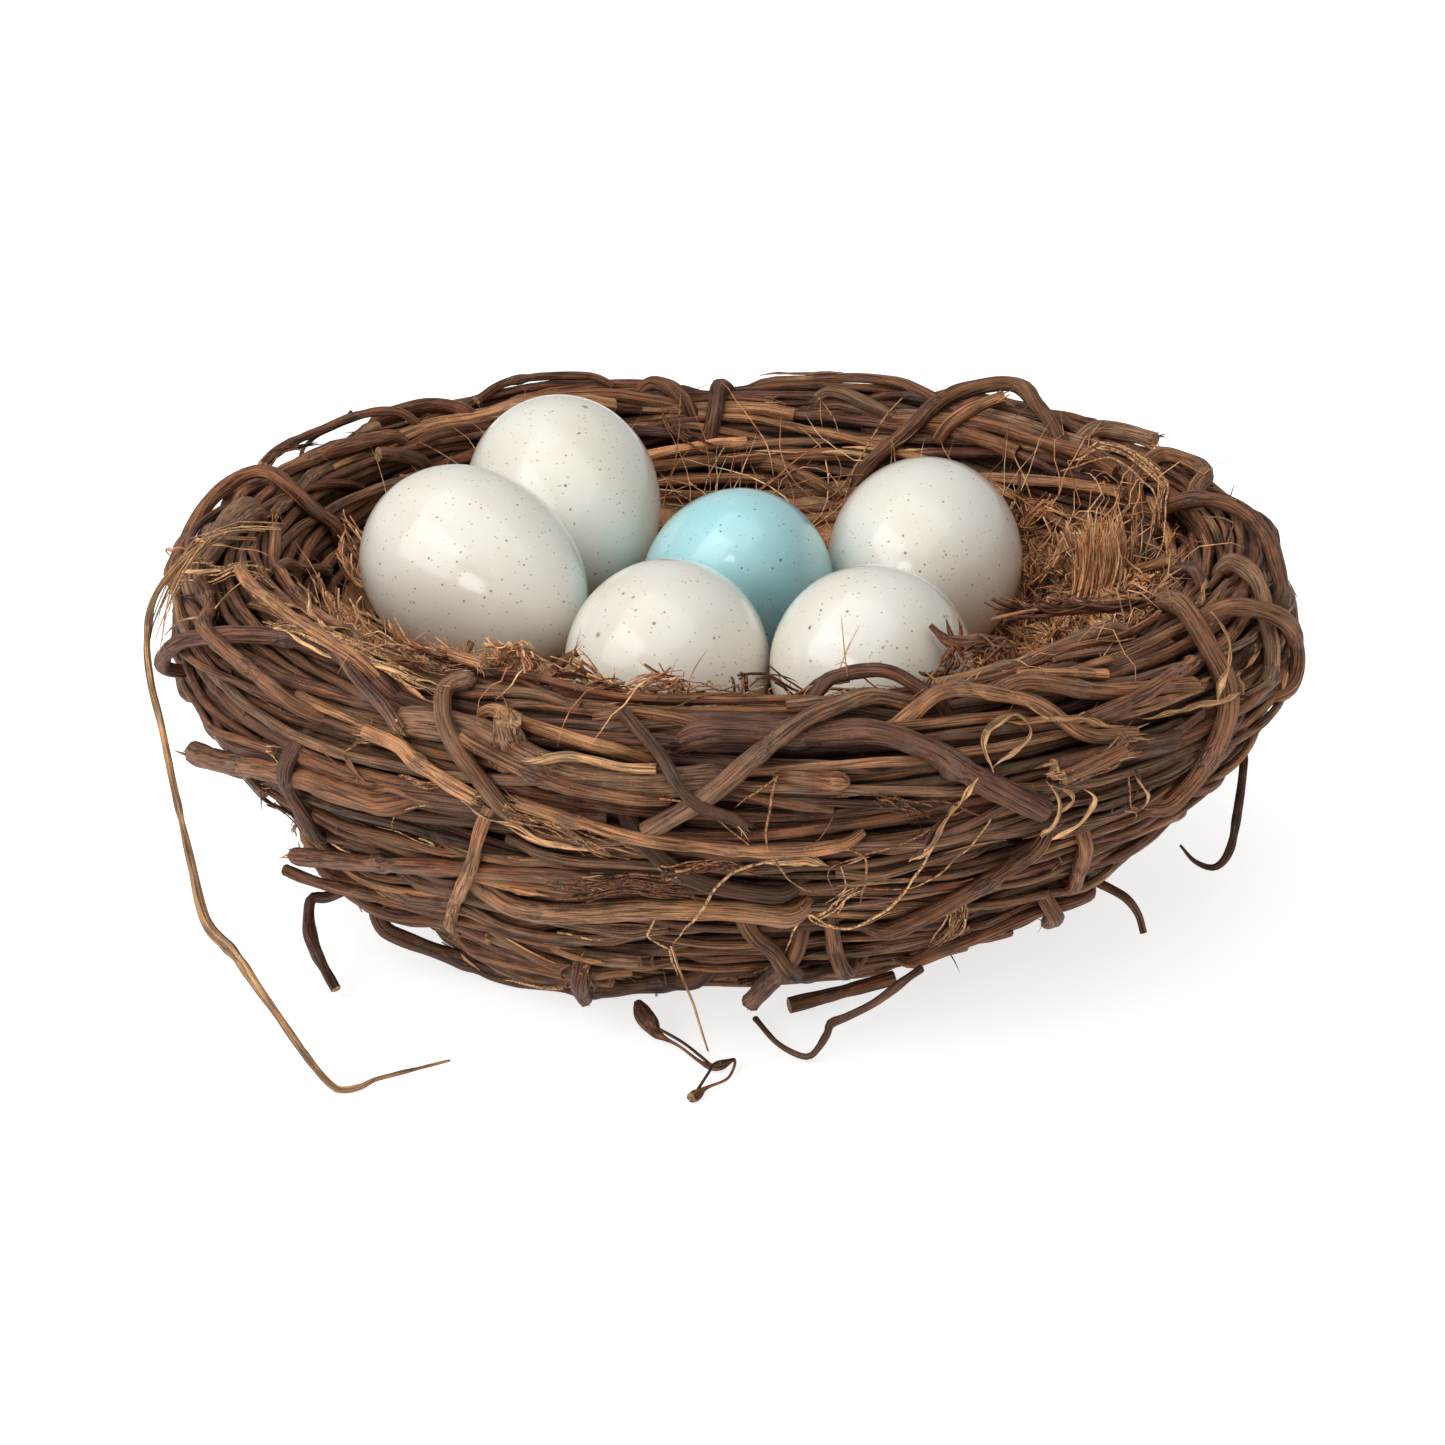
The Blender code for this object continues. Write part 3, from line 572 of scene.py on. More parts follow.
def glaze_finish(name, light, deep, speck, pale_speck):
    """A glazed egg: a soft body colour that drifts a little, fine speckles and a soft gloss."""
    glaze = Finish(name, Coat_Weight=1.0, Coat_Roughness=0.12, Coat_IOR=1.5, Specular_IOR_Level=0.3)
    grain = glaze.attribute("grain", "Vector")
    clouds = glaze.noise(grain, 55, 3.0, 0.55)
    mottle = glaze.noise(grain, 420, 2.0, 0.6)
    colour = glaze.mix(clouds.between(0.35, 0.70), light, deep)
    colour = glaze.mix(mottle.between(0.50, 0.75) * 0.20, colour, deep)
    for spacing, least, most, share, tint in (  # metres
        (0.0012, -0.00010, 0.00027, 0.70, pale_speck), (0.0017, -0.00016, 0.00030, 0.80, speck),
        (0.0034, -0.00036, 0.00042, 0.85, speck), (0.0100, -0.00130, 0.00080, 0.80, speck),
    ):
        values = {"Vector": grain, "Scale": 1 / spacing, "Randomness": 1.0}
        distance = glaze.node("ShaderNodeTexVoronoi", {"feature": "F1"}, values, "Distance")
        cell = glaze.node("ShaderNodeTexVoronoi", {"feature": "F1"}, values, "Color")
        chance = glaze.node("ShaderNodeSeparateColor", None, {0: cell}, 0)
        size = least / spacing + ((most - least) / spacing) * chance
        spot = (size - distance).between(-0.03, 0.03)
        colour = glaze.mix(spot * share, colour, tint)
    glaze.feed(glaze.shader, {"Base Color": colour, "Roughness": 0.34 + 0.10 * mottle})
    return glaze.material


# ------------------------------------------------------------------ the wound vines

WOUND_PITCH = 0.0014  # between the places at which a wound vine is laid on the pile
SEARCH_PITCH = 0.007  # and at which it looks for the lowest way
SEARCH_SHARE = 75  # the height that it needs is more than its height in this percentage of places
WOUND_SIDES = 7
WOUND_MESH_PITCH = 0.0033
WOUND_ENDS = ("tucked", "cut", "torn")
WOUND_END_SHARES = (0.84, 0.08, 0.08)
BASE_GAP = 0.0004  # between a vine under the nest and the base
TRIES = 16
ROUTE_ROWS = 60
LOW_PLACES = 6  # places of which a route runs through the lowest
PATIENCE = 45  # so many searches in a row that found no low place end a layer
STIFFNESS = 8.5  # a vine evens out bumps within this many of its radii
CROOKED = 0.0003  # how far a wound or single vine strays from its smooth line


def ground_limit(station, radius):
    """The most a vine's height may be before it reaches under the base."""
    level, up = np.interp(station, STATIONS, LINE[:, 1]), -np.interp(station, STATIONS, RUN[:, 0])
    return np.where(up < -0.05, (level - radius - BASE_GAP) / np.maximum(-up, 0.05), 1.0)


def wound_route(pile, rng, low, high, radii, span=None, reaches=(35, 175)):
    """A vine that runs round the wall through a low place, and drifts up or down on its way."""
    radius = rng.choice(radii) * rng.uniform(0.9, 1.1)
    reach = rng.uniform(*reaches)
    angles = rng.uniform(*(span or (0, 360)), LOW_PLACES)
    stations = rng.uniform(low, high, LOW_PLACES)
    lowest = pile.height(angles, stations).argmin()
    start, station = angles[lowest] - reach / 2, stations[lowest]
    if span:
        start = np.clip(start, span[0], span[1] - reach) + rng.normal(0, 5)
    steps = np.linspace(0, 1, ROUTE_ROWS)
    drift = rng.normal(0, 0.014) * min(reach / 100, 1.3)
    wave = rng.uniform(0.0006, 0.0040)
    wave = wave * np.sin(math.tau * steps * reach / rng.uniform(80, 220) + rng.uniform(0, 6))
    stations = np.clip(station + drift * (steps - 0.5) + wave, low - 0.003, high + 0.003)
    return np.stack([start + steps * reach, stations, np.zeros(ROUTE_ROWS)], axis=1), radius


def lie(pile, angle, station, radii):
    """Heights of a vine that lies on the pile and bows under what is over it."""
    hold, reach = radii[0] / WOUND_PITCH, STIFFNESS * radii[0] / WOUND_PITCH
    height = bridged(pile.rest(angle, station, radii), hold, reach)
    under = np.minimum(pile.hang(angle, station, radii), height)
    height = np.minimum(height, -bridged(-under, 1.5 * hold, 0.6 * reach))
    return np.minimum(height, ground_limit(station, radii[0]))


def wind(pile, rng, low, high, top, limit, radii, *stretch):
    """Lays vines one after another, each where the pile is lowest, until it is full."""
    laid, misses = [], 0
    while len(laid) < limit and misses < PATIENCE:
        best = None
        for _ in range(TRIES):
            rows, radius = wound_route(pile, rng, low, high, radii, *stretch)
            angle, station, _ = evenly(rows, SEARCH_PITCH)
            rest = pile.rest(angle, station, np.full(len(angle), radius))
            score = np.percentile(rest, SEARCH_SHARE) + radius
            if best is None or score < best[0]:
                best = score, rows, radius
        score, rows, radius = best
        if score > top:
            misses += 1
            continue
        misses = 0
        angle, station, _ = evenly(rows, WOUND_PITCH)
        spread = np.full(len(angle), radius)
        height = lie(pile, angle, station, spread)
        pile.add(angle, station, height, spread)
        laid.append((angle, station, height, radius))
    return laid


def tucked(height, pitch, ends, depth=0.0022, reach=0.010):
    """Heights that dip at the ends, where a vine goes in under its neighbours."""
    count = max(2, min(round(reach / pitch), len(height) // 2))
    dip = depth * (1 + np.cos(np.linspace(0, math.pi, count))) / 2
    height = height.copy()
    if ends[0] == "tucked":
        height[:count] -= dip
    if ends[1] == "tucked":
        height[-count:] -= dip[::-1]
    return height


def follow(vine, places, ways, run, crooked):
    """Places and ways at the vine's own lengths, with its crooks."""
    places = read_at(vine.run, run, places)
    ways = unit(read_at(vine.run, run, ways))
    aside, outward = vine.strays(crooked)
    _, out, side = frames(places, ways)
    places = places + side * aside[:, None] + out * outward[:, None] * 0.5
    places[:, 2] = np.maximum(places[:, 2], vine.radius * 1.1)
    return places, ways


def flake(stock, rng, vine, places, ways):
    """A strip of bark that comes off along a vine."""
    _, out, side = frames(places, ways)
    count = rng.integers(4, 9)
    start = rng.integers(1, max(2, len(places) - count - 1))
    rows = slice(start, start + count)
    if len(places[rows]) < 4:
        return
    turn = rng.uniform(-1.2, 1.2)
    off = math.cos(turn) * out[rows] + math.sin(turn) * side[rows]
    rise = np.linspace(0, 1, len(off))[:: rng.choice([-1, 1])]
    far = vine.radius[rows] * 1.04 + rng.uniform(0.0004, 0.0022) * rise**2
    strip = smooth(places[rows] + off * far[:, None], 3)
    tone = np.array(BARK[rng.choice(["tan", "brown", "pale", "red"])]) * rng.uniform(0.7, 1.3)
    facing = np.repeat(off, 3, axis=0)[:len(strip)]
    ribbon(stock, rng, strip, facing, rng.uniform(0.0006, 0.0016), FLAKE_THICK, tone)


# Painted light and shade in the bark's tone: by the vine's place on the wall it is made paler on the
# inner wall and a little darker on the outer wall, and a painted shade darkens it the deeper it
# lies in the pile. Each row is a station or a height, and the share of the bark's own tone there
STATION_PAINTED_LIGHT = ((0.150, 0.93), (0.174, 1.08), (0.190, 1.38), (0.204, 1.62))
DEPTH_PAINTED_SHADE = ((-0.0085, 0.26), (-0.0045, 0.48), (-0.0012, 1.0))
COARSE_BELOW = -0.0060  # vines that lie deeper are modelled more coarsely
FLAKES_ABOVE = -0.0045
FLAKES = 0.5  # of bark that come off a vine, on average
FLAKE_THICK = 0.00022


def build_wound(stock, rng, angle, station, height, radius):
    """Builds one wound vine where it was laid."""
    ends = [rng.choice(WOUND_ENDS, p=WOUND_END_SHARES) for _ in range(2)]
    height = tucked(height, WOUND_PITCH, ends)
    places, ways = on_wall(angle, station, height)
    run = lengths(places)
    bark = rng.choice(WOUND_BARKS, p=WOUND_SHARES)
    deep = height.mean() < COARSE_BELOW
    pitch, sides = (1.6 * WOUND_MESH_PITCH, 5) if deep else (WOUND_MESH_PITCH, WOUND_SIDES)
    vine = Vine(rng, bark, run[-1], pitch, radius, sides, ribs=0, knots=rng.uniform(0.045, 0.110),
                taper=0.08, flat=rng.uniform(0, 0.16))
    # painted shade that darkens the vine the deeper it lies, times painted light on the inner wall and
    # painted shade on the outer wall
    vine.shade = np.interp(np.interp(vine.run, run, height), *zip(*DEPTH_PAINTED_SHADE))
    vine.shade = vine.shade * np.interp(station.mean(), *zip(*STATION_PAINTED_LIGHT))
    places, ways = follow(vine, places, ways, run, CROOKED)
    vine.build(stock, places, ways, ends)
    if height.mean() > FLAKES_ABOVE:
        for _ in range(rng.poisson(FLAKES)):
            flake(stock, rng, vine, places, ways)


# ------------------------------------------------------------------ the single vines

# Each has its bark, diameter, ends, ribs (how deep its grooves are), and a route of rows of angle,
# station and height
VINES = {
    # the lower wall
    "base_loop": ("dark", 0.0036, "tucked tucked", 0.03, [
        (-58, 0.096, 0.0056), (-54, 0.09, 0.0063), (-46, 0.08, 0.004), (-37, 0.0745, 0.004),
        (-27, 0.072, 0.0035), (-14, 0.08, 0.001), (0, 0.09)]),
    "wavy_vine": ("tan", 0.0044, "tucked tucked", 0.05, [
        (-33, 0.125), (-26, 0.118), (-19, 0.117), (-10, 0.123), (0, 0.124), (10, 0.119)]),
    "dark_stick": ("red", 0.0025, "cut torn", 0.03, [
        (-62.5, 0.109, 0.0105), (-52, 0.105, 0.003), (-40, 0.1015), (-26, 0.102)]),
    "broken_stick": ("red", 0.0035, "torn torn", 0.03, [
        (-60.5, 0.1115, 0.0065), (-48, 0.117), (-34, 0.127), (-23, 0.132), (-14, 0.134)]),
    "low_rod": ("brown", 0.0038, "tucked tucked", 0.03, [
        (14, 0.104), (21, 0.114), (27, 0.128), (34, 0.142)]),
    "low_upright": ("red", 0.0032, "tucked tucked", 0.03, [(37, 0.138), (40, 0.122), (47, 0.102)]),
    "runner": ("brown", 0.0028, "tucked tucked", 0.02, [
        (24, 0.077), (30, 0.091), (44, 0.101), (58, 0.097, 0.001)]),
    # the belly and the rim, front
    "left_stub": ("brown", 0.0046, "torn tucked", 0.03, [
        (-69, 0.136, 0.005), (-58, 0.14), (-45, 0.145), (-31, 0.146)]),
    "knotted_vine": ("grey", 0.006, "tucked tucked", 0.03, [
        (-37, 0.1625, -0.0022), (-31, 0.1645, -0.0012), (-26, 0.1645), (-21, 0.161), (-15, 0.158),
        (-8, 0.158), (1, 0.16)]),
    "split_vine": ("tan", 0.0028, "tucked tucked", 0.05, [
        (-28, 0.172), (-22, 0.169), (-14, 0.165), (-7, 0.163)]),
    "thick_arc": ("purple", 0.0052, "tucked cut", 0.02, [
        (-7, 0.168), (3, 0.169), (12, 0.168), (18, 0.164), (24, 0.155), (30, 0.147)]),
    "dark_bundle": ("dark", 0.0042, "torn tucked", 0.05, [(31, 0.155), (39, 0.155), (50, 0.152)]),
    "rim_hook_left": ("purple", 0.0034, "tucked tucked", 0.02, [
        (-34, 0.168), (-43, 0.173), (-51, 0.173), (-59, 0.168, 0.001), (-68, 0.16, 0.003),
        (-75, 0.151, 0.002), (-78, 0.144)]),
    "dark_diagonal": ("dark", 0.0035, "tucked tucked", 0.05, [
        (-11, 0.154), (-8, 0.145), (-2, 0.134), (9, 0.128)]),
    "big_diagonal": ("grey", 0.0034, "cut tucked", 0.06, [
        (-8, 0.149), (-2, 0.157), (5, 0.168), (13, 0.176), (21, 0.178), (29, 0.179)]),
    "front_arch": ("purple", 0.0028, "tucked tucked", 0.02, [
        (6, 0.181), (10, 0.182, 0.003), (15, 0.181, 0.004), (20, 0.178, 0.003), (24, 0.171)]),
    "pale_arch": ("tan", 0.0032, "tucked torn", 0.05, [
        (16, 0.172), (23, 0.174), (30, 0.17), (35, 0.161), (41, 0.158)]),
    "short_stick": ("tan", 0.0025, "cut torn", 0.05, [
        (-23, 0.15), (-27, 0.132), (-34, 0.11), (-43, 0.087)]),
    "left_binder": ("dark", 0.0031, "tucked tucked", 0.03, [
        (-47, 0.157), (-47, 0.147), (-49, 0.133), (-53, 0.115)]),
    "front_binder": ("grey", 0.0035, "knob tucked", 0.06, [
        (-28, 0.177), (-30, 0.172), (-27, 0.162), (-22, 0.152), (-18, 0.144)]),
    # the rim, left and back
    "crest_left": ("brown", 0.0036, "tucked tucked", 0.03, [
        (-106, 0.176), (-115, 0.18), (-125, 0.182), (-136, 0.184)]),
    "knotty_vine": ("grey", 0.0058, "tucked tucked", 0.02, [
        (-101, 0.181), (-95, 0.179), (-88, 0.176), (-81, 0.171), (-76, 0.163)]),
    "inner_left_rod": ("brown", 0.0028, "tucked tucked", 0.02, [
        (-99, 0.186), (-88, 0.189), (-74, 0.19), (-58, 0.187), (-41, 0.178)]),
    "inner_left_dark": ("dark", 0.0026, "tucked tucked", 0.02, [
        (-79, 0.186), (-85, 0.192), (-93, 0.199), (-102, 0.206)]),
    "over_left_rim": ("red", 0.0035, "tucked tucked", 0.03, [
        (-86, 0.158, 0.0005), (-96, 0.164, 0.001), (-102, 0.169, 0.0024), (-107, 0.176, 0.002),
        (-106, 0.185, 0.0005), (-107, 0.193), (-112, 0.203)]),
    "back_left_arch": ("red", 0.0033, "tucked tucked", 0.02, [
        (-129, 0.172), (-134, 0.176, 0.002), (-141, 0.179, 0.002), (-147, 0.188)]),
    "back_loop": ("brown", 0.0035, "tucked tucked", 0.02, [
        (-166, 0.174), (-170, 0.178, 0.001), (-173, 0.184), (-176, 0.194)]),
    "back_binder": ("purple", 0.0036, "tucked tucked", 0.03, [
        (178, 0.174), (-179, 0.18), (-178, 0.189), (-177, 0.199)]),
    "inner_back_diagonal": ("brown", 0.0033, "tucked tucked", 0.03, [
        (178, 0.199), (172, 0.203), (166, 0.207), (160, 0.211)]),
    "back_right_rod": ("grey", 0.0028, "tucked tucked", 0.03, [
        (172, 0.18), (166, 0.182), (160, 0.186), (154, 0.188)]),
    "back_arch": ("brown", 0.0035, "tucked tucked", 0.02, [
        (162, 0.212), (160, 0.203), (155, 0.192), (150, 0.18, 0.0025), (144, 0.176, 0.006),
        (138, 0.18, 0.003), (128, 0.189)]),
    # the outside, behind
    "left_back_sweep": ("brown", 0.0042, "tucked tucked", 0.03, [
        (-92, 0.12), (-104, 0.128), (-118, 0.138), (-132, 0.15), (-145, 0.163)]),
    "low_back_rod": ("red", 0.0038, "torn tucked", 0.03, [
        (-128, 0.096), (-145, 0.102), (-162, 0.112), (-178, 0.12)]),
    "outer_back_binder": ("grey", 0.0036, "tucked tucked", 0.05, [
        (-152, 0.168), (-157, 0.155), (-161, 0.14), (-163, 0.122)]),
    "back_sweep": ("tan", 0.0044, "tucked cut", 0.04, [
        (-172, 0.146), (174, 0.139), (160, 0.136), (146, 0.14), (133, 0.15)]),
    "right_back_diagonal": ("dark", 0.0036, "tucked tucked", 0.03, [
        (152, 0.168), (145, 0.154), (136, 0.138), (127, 0.12), (120, 0.104)]),
    "low_right_rod": ("brown", 0.0038, "cut tucked", 0.03, [
        (118, 0.132), (104, 0.122), (90, 0.116), (77, 0.118)]),
    # the rim, right
    "right_end": ("grey", 0.004, "tucked torn", 0.02, [
        (132, 0.185), (128, 0.178, 0.001), (122, 0.174, 0.002)]),
    "inner_right_rod": ("dark", 0.0032, "tucked tucked", 0.03, [
        (87, 0.203), (84, 0.194), (77, 0.187), (69, 0.181)]),
    "right_loop_back": ("brown", 0.0038, "tucked tucked", 0.02, [
        (113, 0.195), (116, 0.185), (117, 0.177, 0.001), (112, 0.174, 0.0015), (106, 0.178, 0.001),
        (101, 0.186)]),
    "right_loop_top": ("brown", 0.0038, "tucked tucked", 0.02, [
        (107, 0.193), (100, 0.186, 0.0015), (93, 0.177, 0.0025), (87, 0.172, 0.002), (80, 0.168, 0.001),
        (73, 0.16)]),
    "right_loop_low": ("grey", 0.0038, "tucked tucked", 0.03, [
        (79, 0.184), (75, 0.174, 0.001), (71, 0.166, 0.001), (67, 0.158), (61, 0.15)]),
    "right_loop_front": ("brown", 0.0038, "tucked tucked", 0.02, [
        (57, 0.177), (63, 0.173, 0.001), (68, 0.167, 0.002), (72, 0.159, 0.0015), (73, 0.151, 0.001),
        (68, 0.144)]),
    "right_binder": ("brown", 0.0043, "knob tucked", 0.03, [
        (72, 0.194), (64, 0.186), (58, 0.177), (56, 0.168), (56, 0.157), (53, 0.147), (49, 0.136),
        (45.5, 0.13, -0.001)]),
}
VINE_PITCH = 0.0012
VINE_SIDES = 14
FAR_BELOW = -0.03  # the height at which the pile of the single vines alone starts
VINE_HOLD = 0.0034 / VINE_PITCH  # places over which a vine is as high as its highest
VINE_REACH = 0.004 / VINE_PITCH  # and over which it then evens out
VINE_GIVE = 0.005  # a vine bows in by no more than this under those that cross it
TUCK = 0.009  # so much of a tucked end goes in under the wound vines
TUCK_DEPTH = 0.0062
TUCK_RUN = 0.011  # over which it dips by that depth
GIVE_WAY = 0.55  # where two cross, the upper one rises by this share of what they overlap
RISE = 0.0026  # but by no more than this
STRAIGHT = ("broken_stick", "dark_stick", "left_stub")  # they stick out in a straight line
STRAIGHT_REACH = 14  # places over which their height is evened out
LESS_CROOKED = 0.00008


def showing(name, count):
    """Which of a single vine's places are outside its tucked ends."""
    shows = np.ones(count, bool)
    tuck = min(round(TUCK / VINE_PITCH), count // 3)
    ends = VINES[name][2].split()
    shows[:tuck] = ends[0] != "tucked"
    shows[-tuck:] = ends[1] != "tucked"
    return shows


def plan_vines(pile):
    """Angle, station, height and radius of each single vine: where two cross, both give way."""
    planned = {}
    below = Pile(FAR_BELOW)
    for name, (_, diameter, _, _, route) in VINES.items():
        angle, station, lift = spaced(route, VINE_PITCH)
        radii = np.full(len(angle), diameter / 2)
        rest = bridged(np.maximum(below.rest(angle, station, radii), lift), VINE_HOLD, VINE_REACH)
        below.add(angle, station, lift, radii)
        planned[name] = angle, station, lift + np.clip(GIVE_WAY * (rest - lift), 0, RISE), radii
    for name, (angle, station, height, radii) in reversed(planned.items()):
        under = np.minimum(pile.hang(angle, station, radii), height)
        under = -bridged(-under, VINE_HOLD, VINE_REACH)
        height = np.maximum(under, height - VINE_GIVE)
        height = np.minimum(height, ground_limit(station, radii[0]))
        if name in STRAIGHT:
            height = windows(height, STRAIGHT_REACH).mean(axis=1)
        shows = showing(name, len(angle))
        pile.add_roof(angle[shows], station[shows], height[shows], radii[shows])
        planned[name] = angle, station, height, radii
    return planned


def straight_end(places):
    """Places of which the first ones go straight from the end to where the line touches the curve."""
    along = unit(np.gradient(places, axis=0))
    last = len(places) // 2
    match = [unit(places[i] - places[0]) @ along[i] for i in range(4, last)]
    touch = 4 + int(np.argmax(match))
    places = places.copy()
    places[:touch] = places[0] + (places[touch] - places[0]) * (np.arange(touch) / touch)[:, None]
    return places


def build_vine(pile, name, planned):
    """Builds a planned vine in a stock of its own."""
    bark, _, ends, ribs, _ = VINES[name]
    ends = ends.split()
    angle, station, height, radii = planned[name]
    shows = showing(name, len(angle))
    pile.add(angle[shows], station[shows], height[shows], radii[shows])
    height = tucked(height, VINE_PITCH, ends, TUCK_DEPTH, TUCK_RUN)
    places, ways = on_wall(angle, station, height)
    if name in STRAIGHT:
        places = straight_end(places)
    run = lengths(places)
    vine = Vine(seeded(name), bark, run[-1], VINE_PITCH, radii[0], VINE_SIDES, ribs,
                knots=0.045, taper=0.04, flat=0.05)
    places, ways = follow(vine, places, ways, run, LESS_CROOKED if name in STRAIGHT else CROOKED)
    if ends[0] == "knob":
        vine.knob(0.22, 0.45, 0.80, 0.95)
    stock = Stock()
    vine.build(stock, places, ways, ends)
    return stock


# ------------------------------------------------------------------ twigs, strips and hairs

TWIG_PITCH = 0.0010
TWIG_SIDES = 11
TWIG_TUCK = 0.006  # so much of a tucked end goes in between the vines
TWIG_KNOTS = 0.026
CANE_KNOTS = 0.012
STRIP_THICK = 0.00026
SHRED_REST = 0.0003  # the radius with which a ragged bundle or a wad rests on the vines
SHRED_RADII = (0.00014, 0.00036)
SPRIG_RADII = (0.00008, 0.00018)
FIBRE_FLOOR_GAP = 0.0003
ROUGH = 0.0026  # where the pile's height varies by more than this, nothing lies across
WIDEST_HAIR = 0.0007

# Small pieces that lie on the vines: bark, diameter, ends, how far off the vines, and route
TWIGS = {
    "thin_dark": ("dark", 0.0023, "cut torn", 0, [
        (-11, 0.171), (-7, 0.164), (-4, 0.156), (0, 0.152), (1, 0.15)]),
    "grey_twig": ("purple", 0.0024, "cut torn", 0, [
        (-44, 0.172), (-42, 0.171), (-36, 0.166), (-33, 0.162)]),
    "cane": ("straw", 0.002, "tucked cut", 0, [
        (-22, 0.16), (-19, 0.16), (-15, 0.162), (-10, 0.161), (-7, 0.161)]),
    "peeled_stem": ("tan", 0.0029, "torn torn", 0, [
        (-37, 0.16), (-33, 0.159), (-31, 0.157), (-27, 0.154), (-24, 0.152)]),
    "crest_stub": ("dark", 0.0032, "cut tucked", 0, [(-126, 0.187), (-129, 0.189), (-134, 0.194)]),
    "thin_back": ("brown", 0.002, "torn tucked", 0, [
        (-146, 0.18), (-150, 0.177), (-155, 0.175), (-160, 0.176), (-165, 0.177)]),
    "front_rod": ("brown", 0.0029, "tucked tucked", 0, [(-26, 0.163), (-16, 0.157), (-6, 0.155)]),
    "front_rod_low": ("tan", 0.0026, "torn tucked", 0, [
        (-20, 0.152), (-10, 0.149), (3, 0.145), (12, 0.146)]),
    "knot_stub": ("brown", 0.003, "knob tucked", 0, [(10.5, 0.158), (7, 0.1592), (4, 0.16)]),
    "crest_twig": ("brown", 0.0022, "torn tucked", 0.0002, [
        (-113, 0.172, 0.0012), (-116, 0.172, 0.0018), (-121, 0.173, 0.002), (-126, 0.174, 0.0016),
        (-130, 0.176, 0.0012), (-136, 0.182)]),
    "crest_sprig": ("brown", 0.0009, "tucked torn", 0, [
        (-119, 0.174), (-122, 0.173, 0.002), (-125, 0.173, 0.0034), (-128, 0.174, 0.004),
        (-130, 0.174, 0.0058)]),
    "fibrous_end": ("brown", 0.003, "torn torn", 0, [(31, 0.1535), (34, 0.1545), (38, 0.156)]),
    "right_stalk": ("tan", 0.003, "cut torn", 0, [(100, 0.206), (94, 0.2), (88, 0.193)]),
    "rim_rod": ("grey", 0.0032, "torn tucked", 0, [(24, 0.187), (32, 0.186), (42, 0.185), (52, 0.184)]),
    "rim_rod_cut": ("tan", 0.0023, "cut cut", 0, [(31, 0.1765), (36, 0.174), (41, 0.1712)]),
    "knot_rod": ("brown", 0.0033, "tucked tucked", 0, [
        (28, 0.173), (33, 0.1715), (39, 0.168), (48, 0.164), (52, 0.162)]),
    "crossing_rod": ("brown", 0.0034, "tucked tucked", 0, [(37, 0.163), (46, 0.165), (54, 0.167)]),
    "low_stub": ("purple", 0.0034, "torn tucked", 0, [(47, 0.093), (44, 0.1), (40, 0.108)]),
    "base_stub": ("red", 0.0036, "tucked torn", 0, [(-18, 0.103), (-19.5, 0.094), (-21, 0.084)]),
    "foot_stub": ("purple", 0.0036, "torn tucked", 0.0004, [
        (2.5, 0.081, 0.002), (5, 0.092), (6, 0.098), (8, 0.108)]),
    "foot_curl": ("dark", 0.0032, "tucked tucked", 0, [
        (1, 0.115), (4, 0.108), (6, 0.102, 0.0026), (9, 0.095, 0.0016), (12, 0.092), (15, 0.0905),
        (18, 0.095)]),
    "foot_loop": ("brown", 0.003, "tucked tucked", 0, [
        (11, 0.113), (12, 0.105), (14, 0.097, 0.002), (17, 0.091)]),
    "back_stub": ("tan", 0.003, "torn tucked", 0, [(143, 0.181), (146, 0.186), (150, 0.192)]),
    "left_rod": ("brown", 0.0032, "tucked tucked", 0, [
        (-78, 0.17), (-66, 0.166), (-54, 0.163), (-44, 0.16)]),
    "left_rod_pale": ("tan", 0.0026, "torn tucked", 0, [
        (-74, 0.178), (-62, 0.177), (-50, 0.175), (-38, 0.171)]),
    "rim_stub_pale": ("tan", 0.0026, "cut torn", 0.0008, [(-34, 0.183), (-31, 0.18), (-27, 0.178)]),
    "inner_twig": ("purple", 0.0024, "torn cut", 0, [(108, 0.222), (98, 0.216), (88, 0.209)]),
}
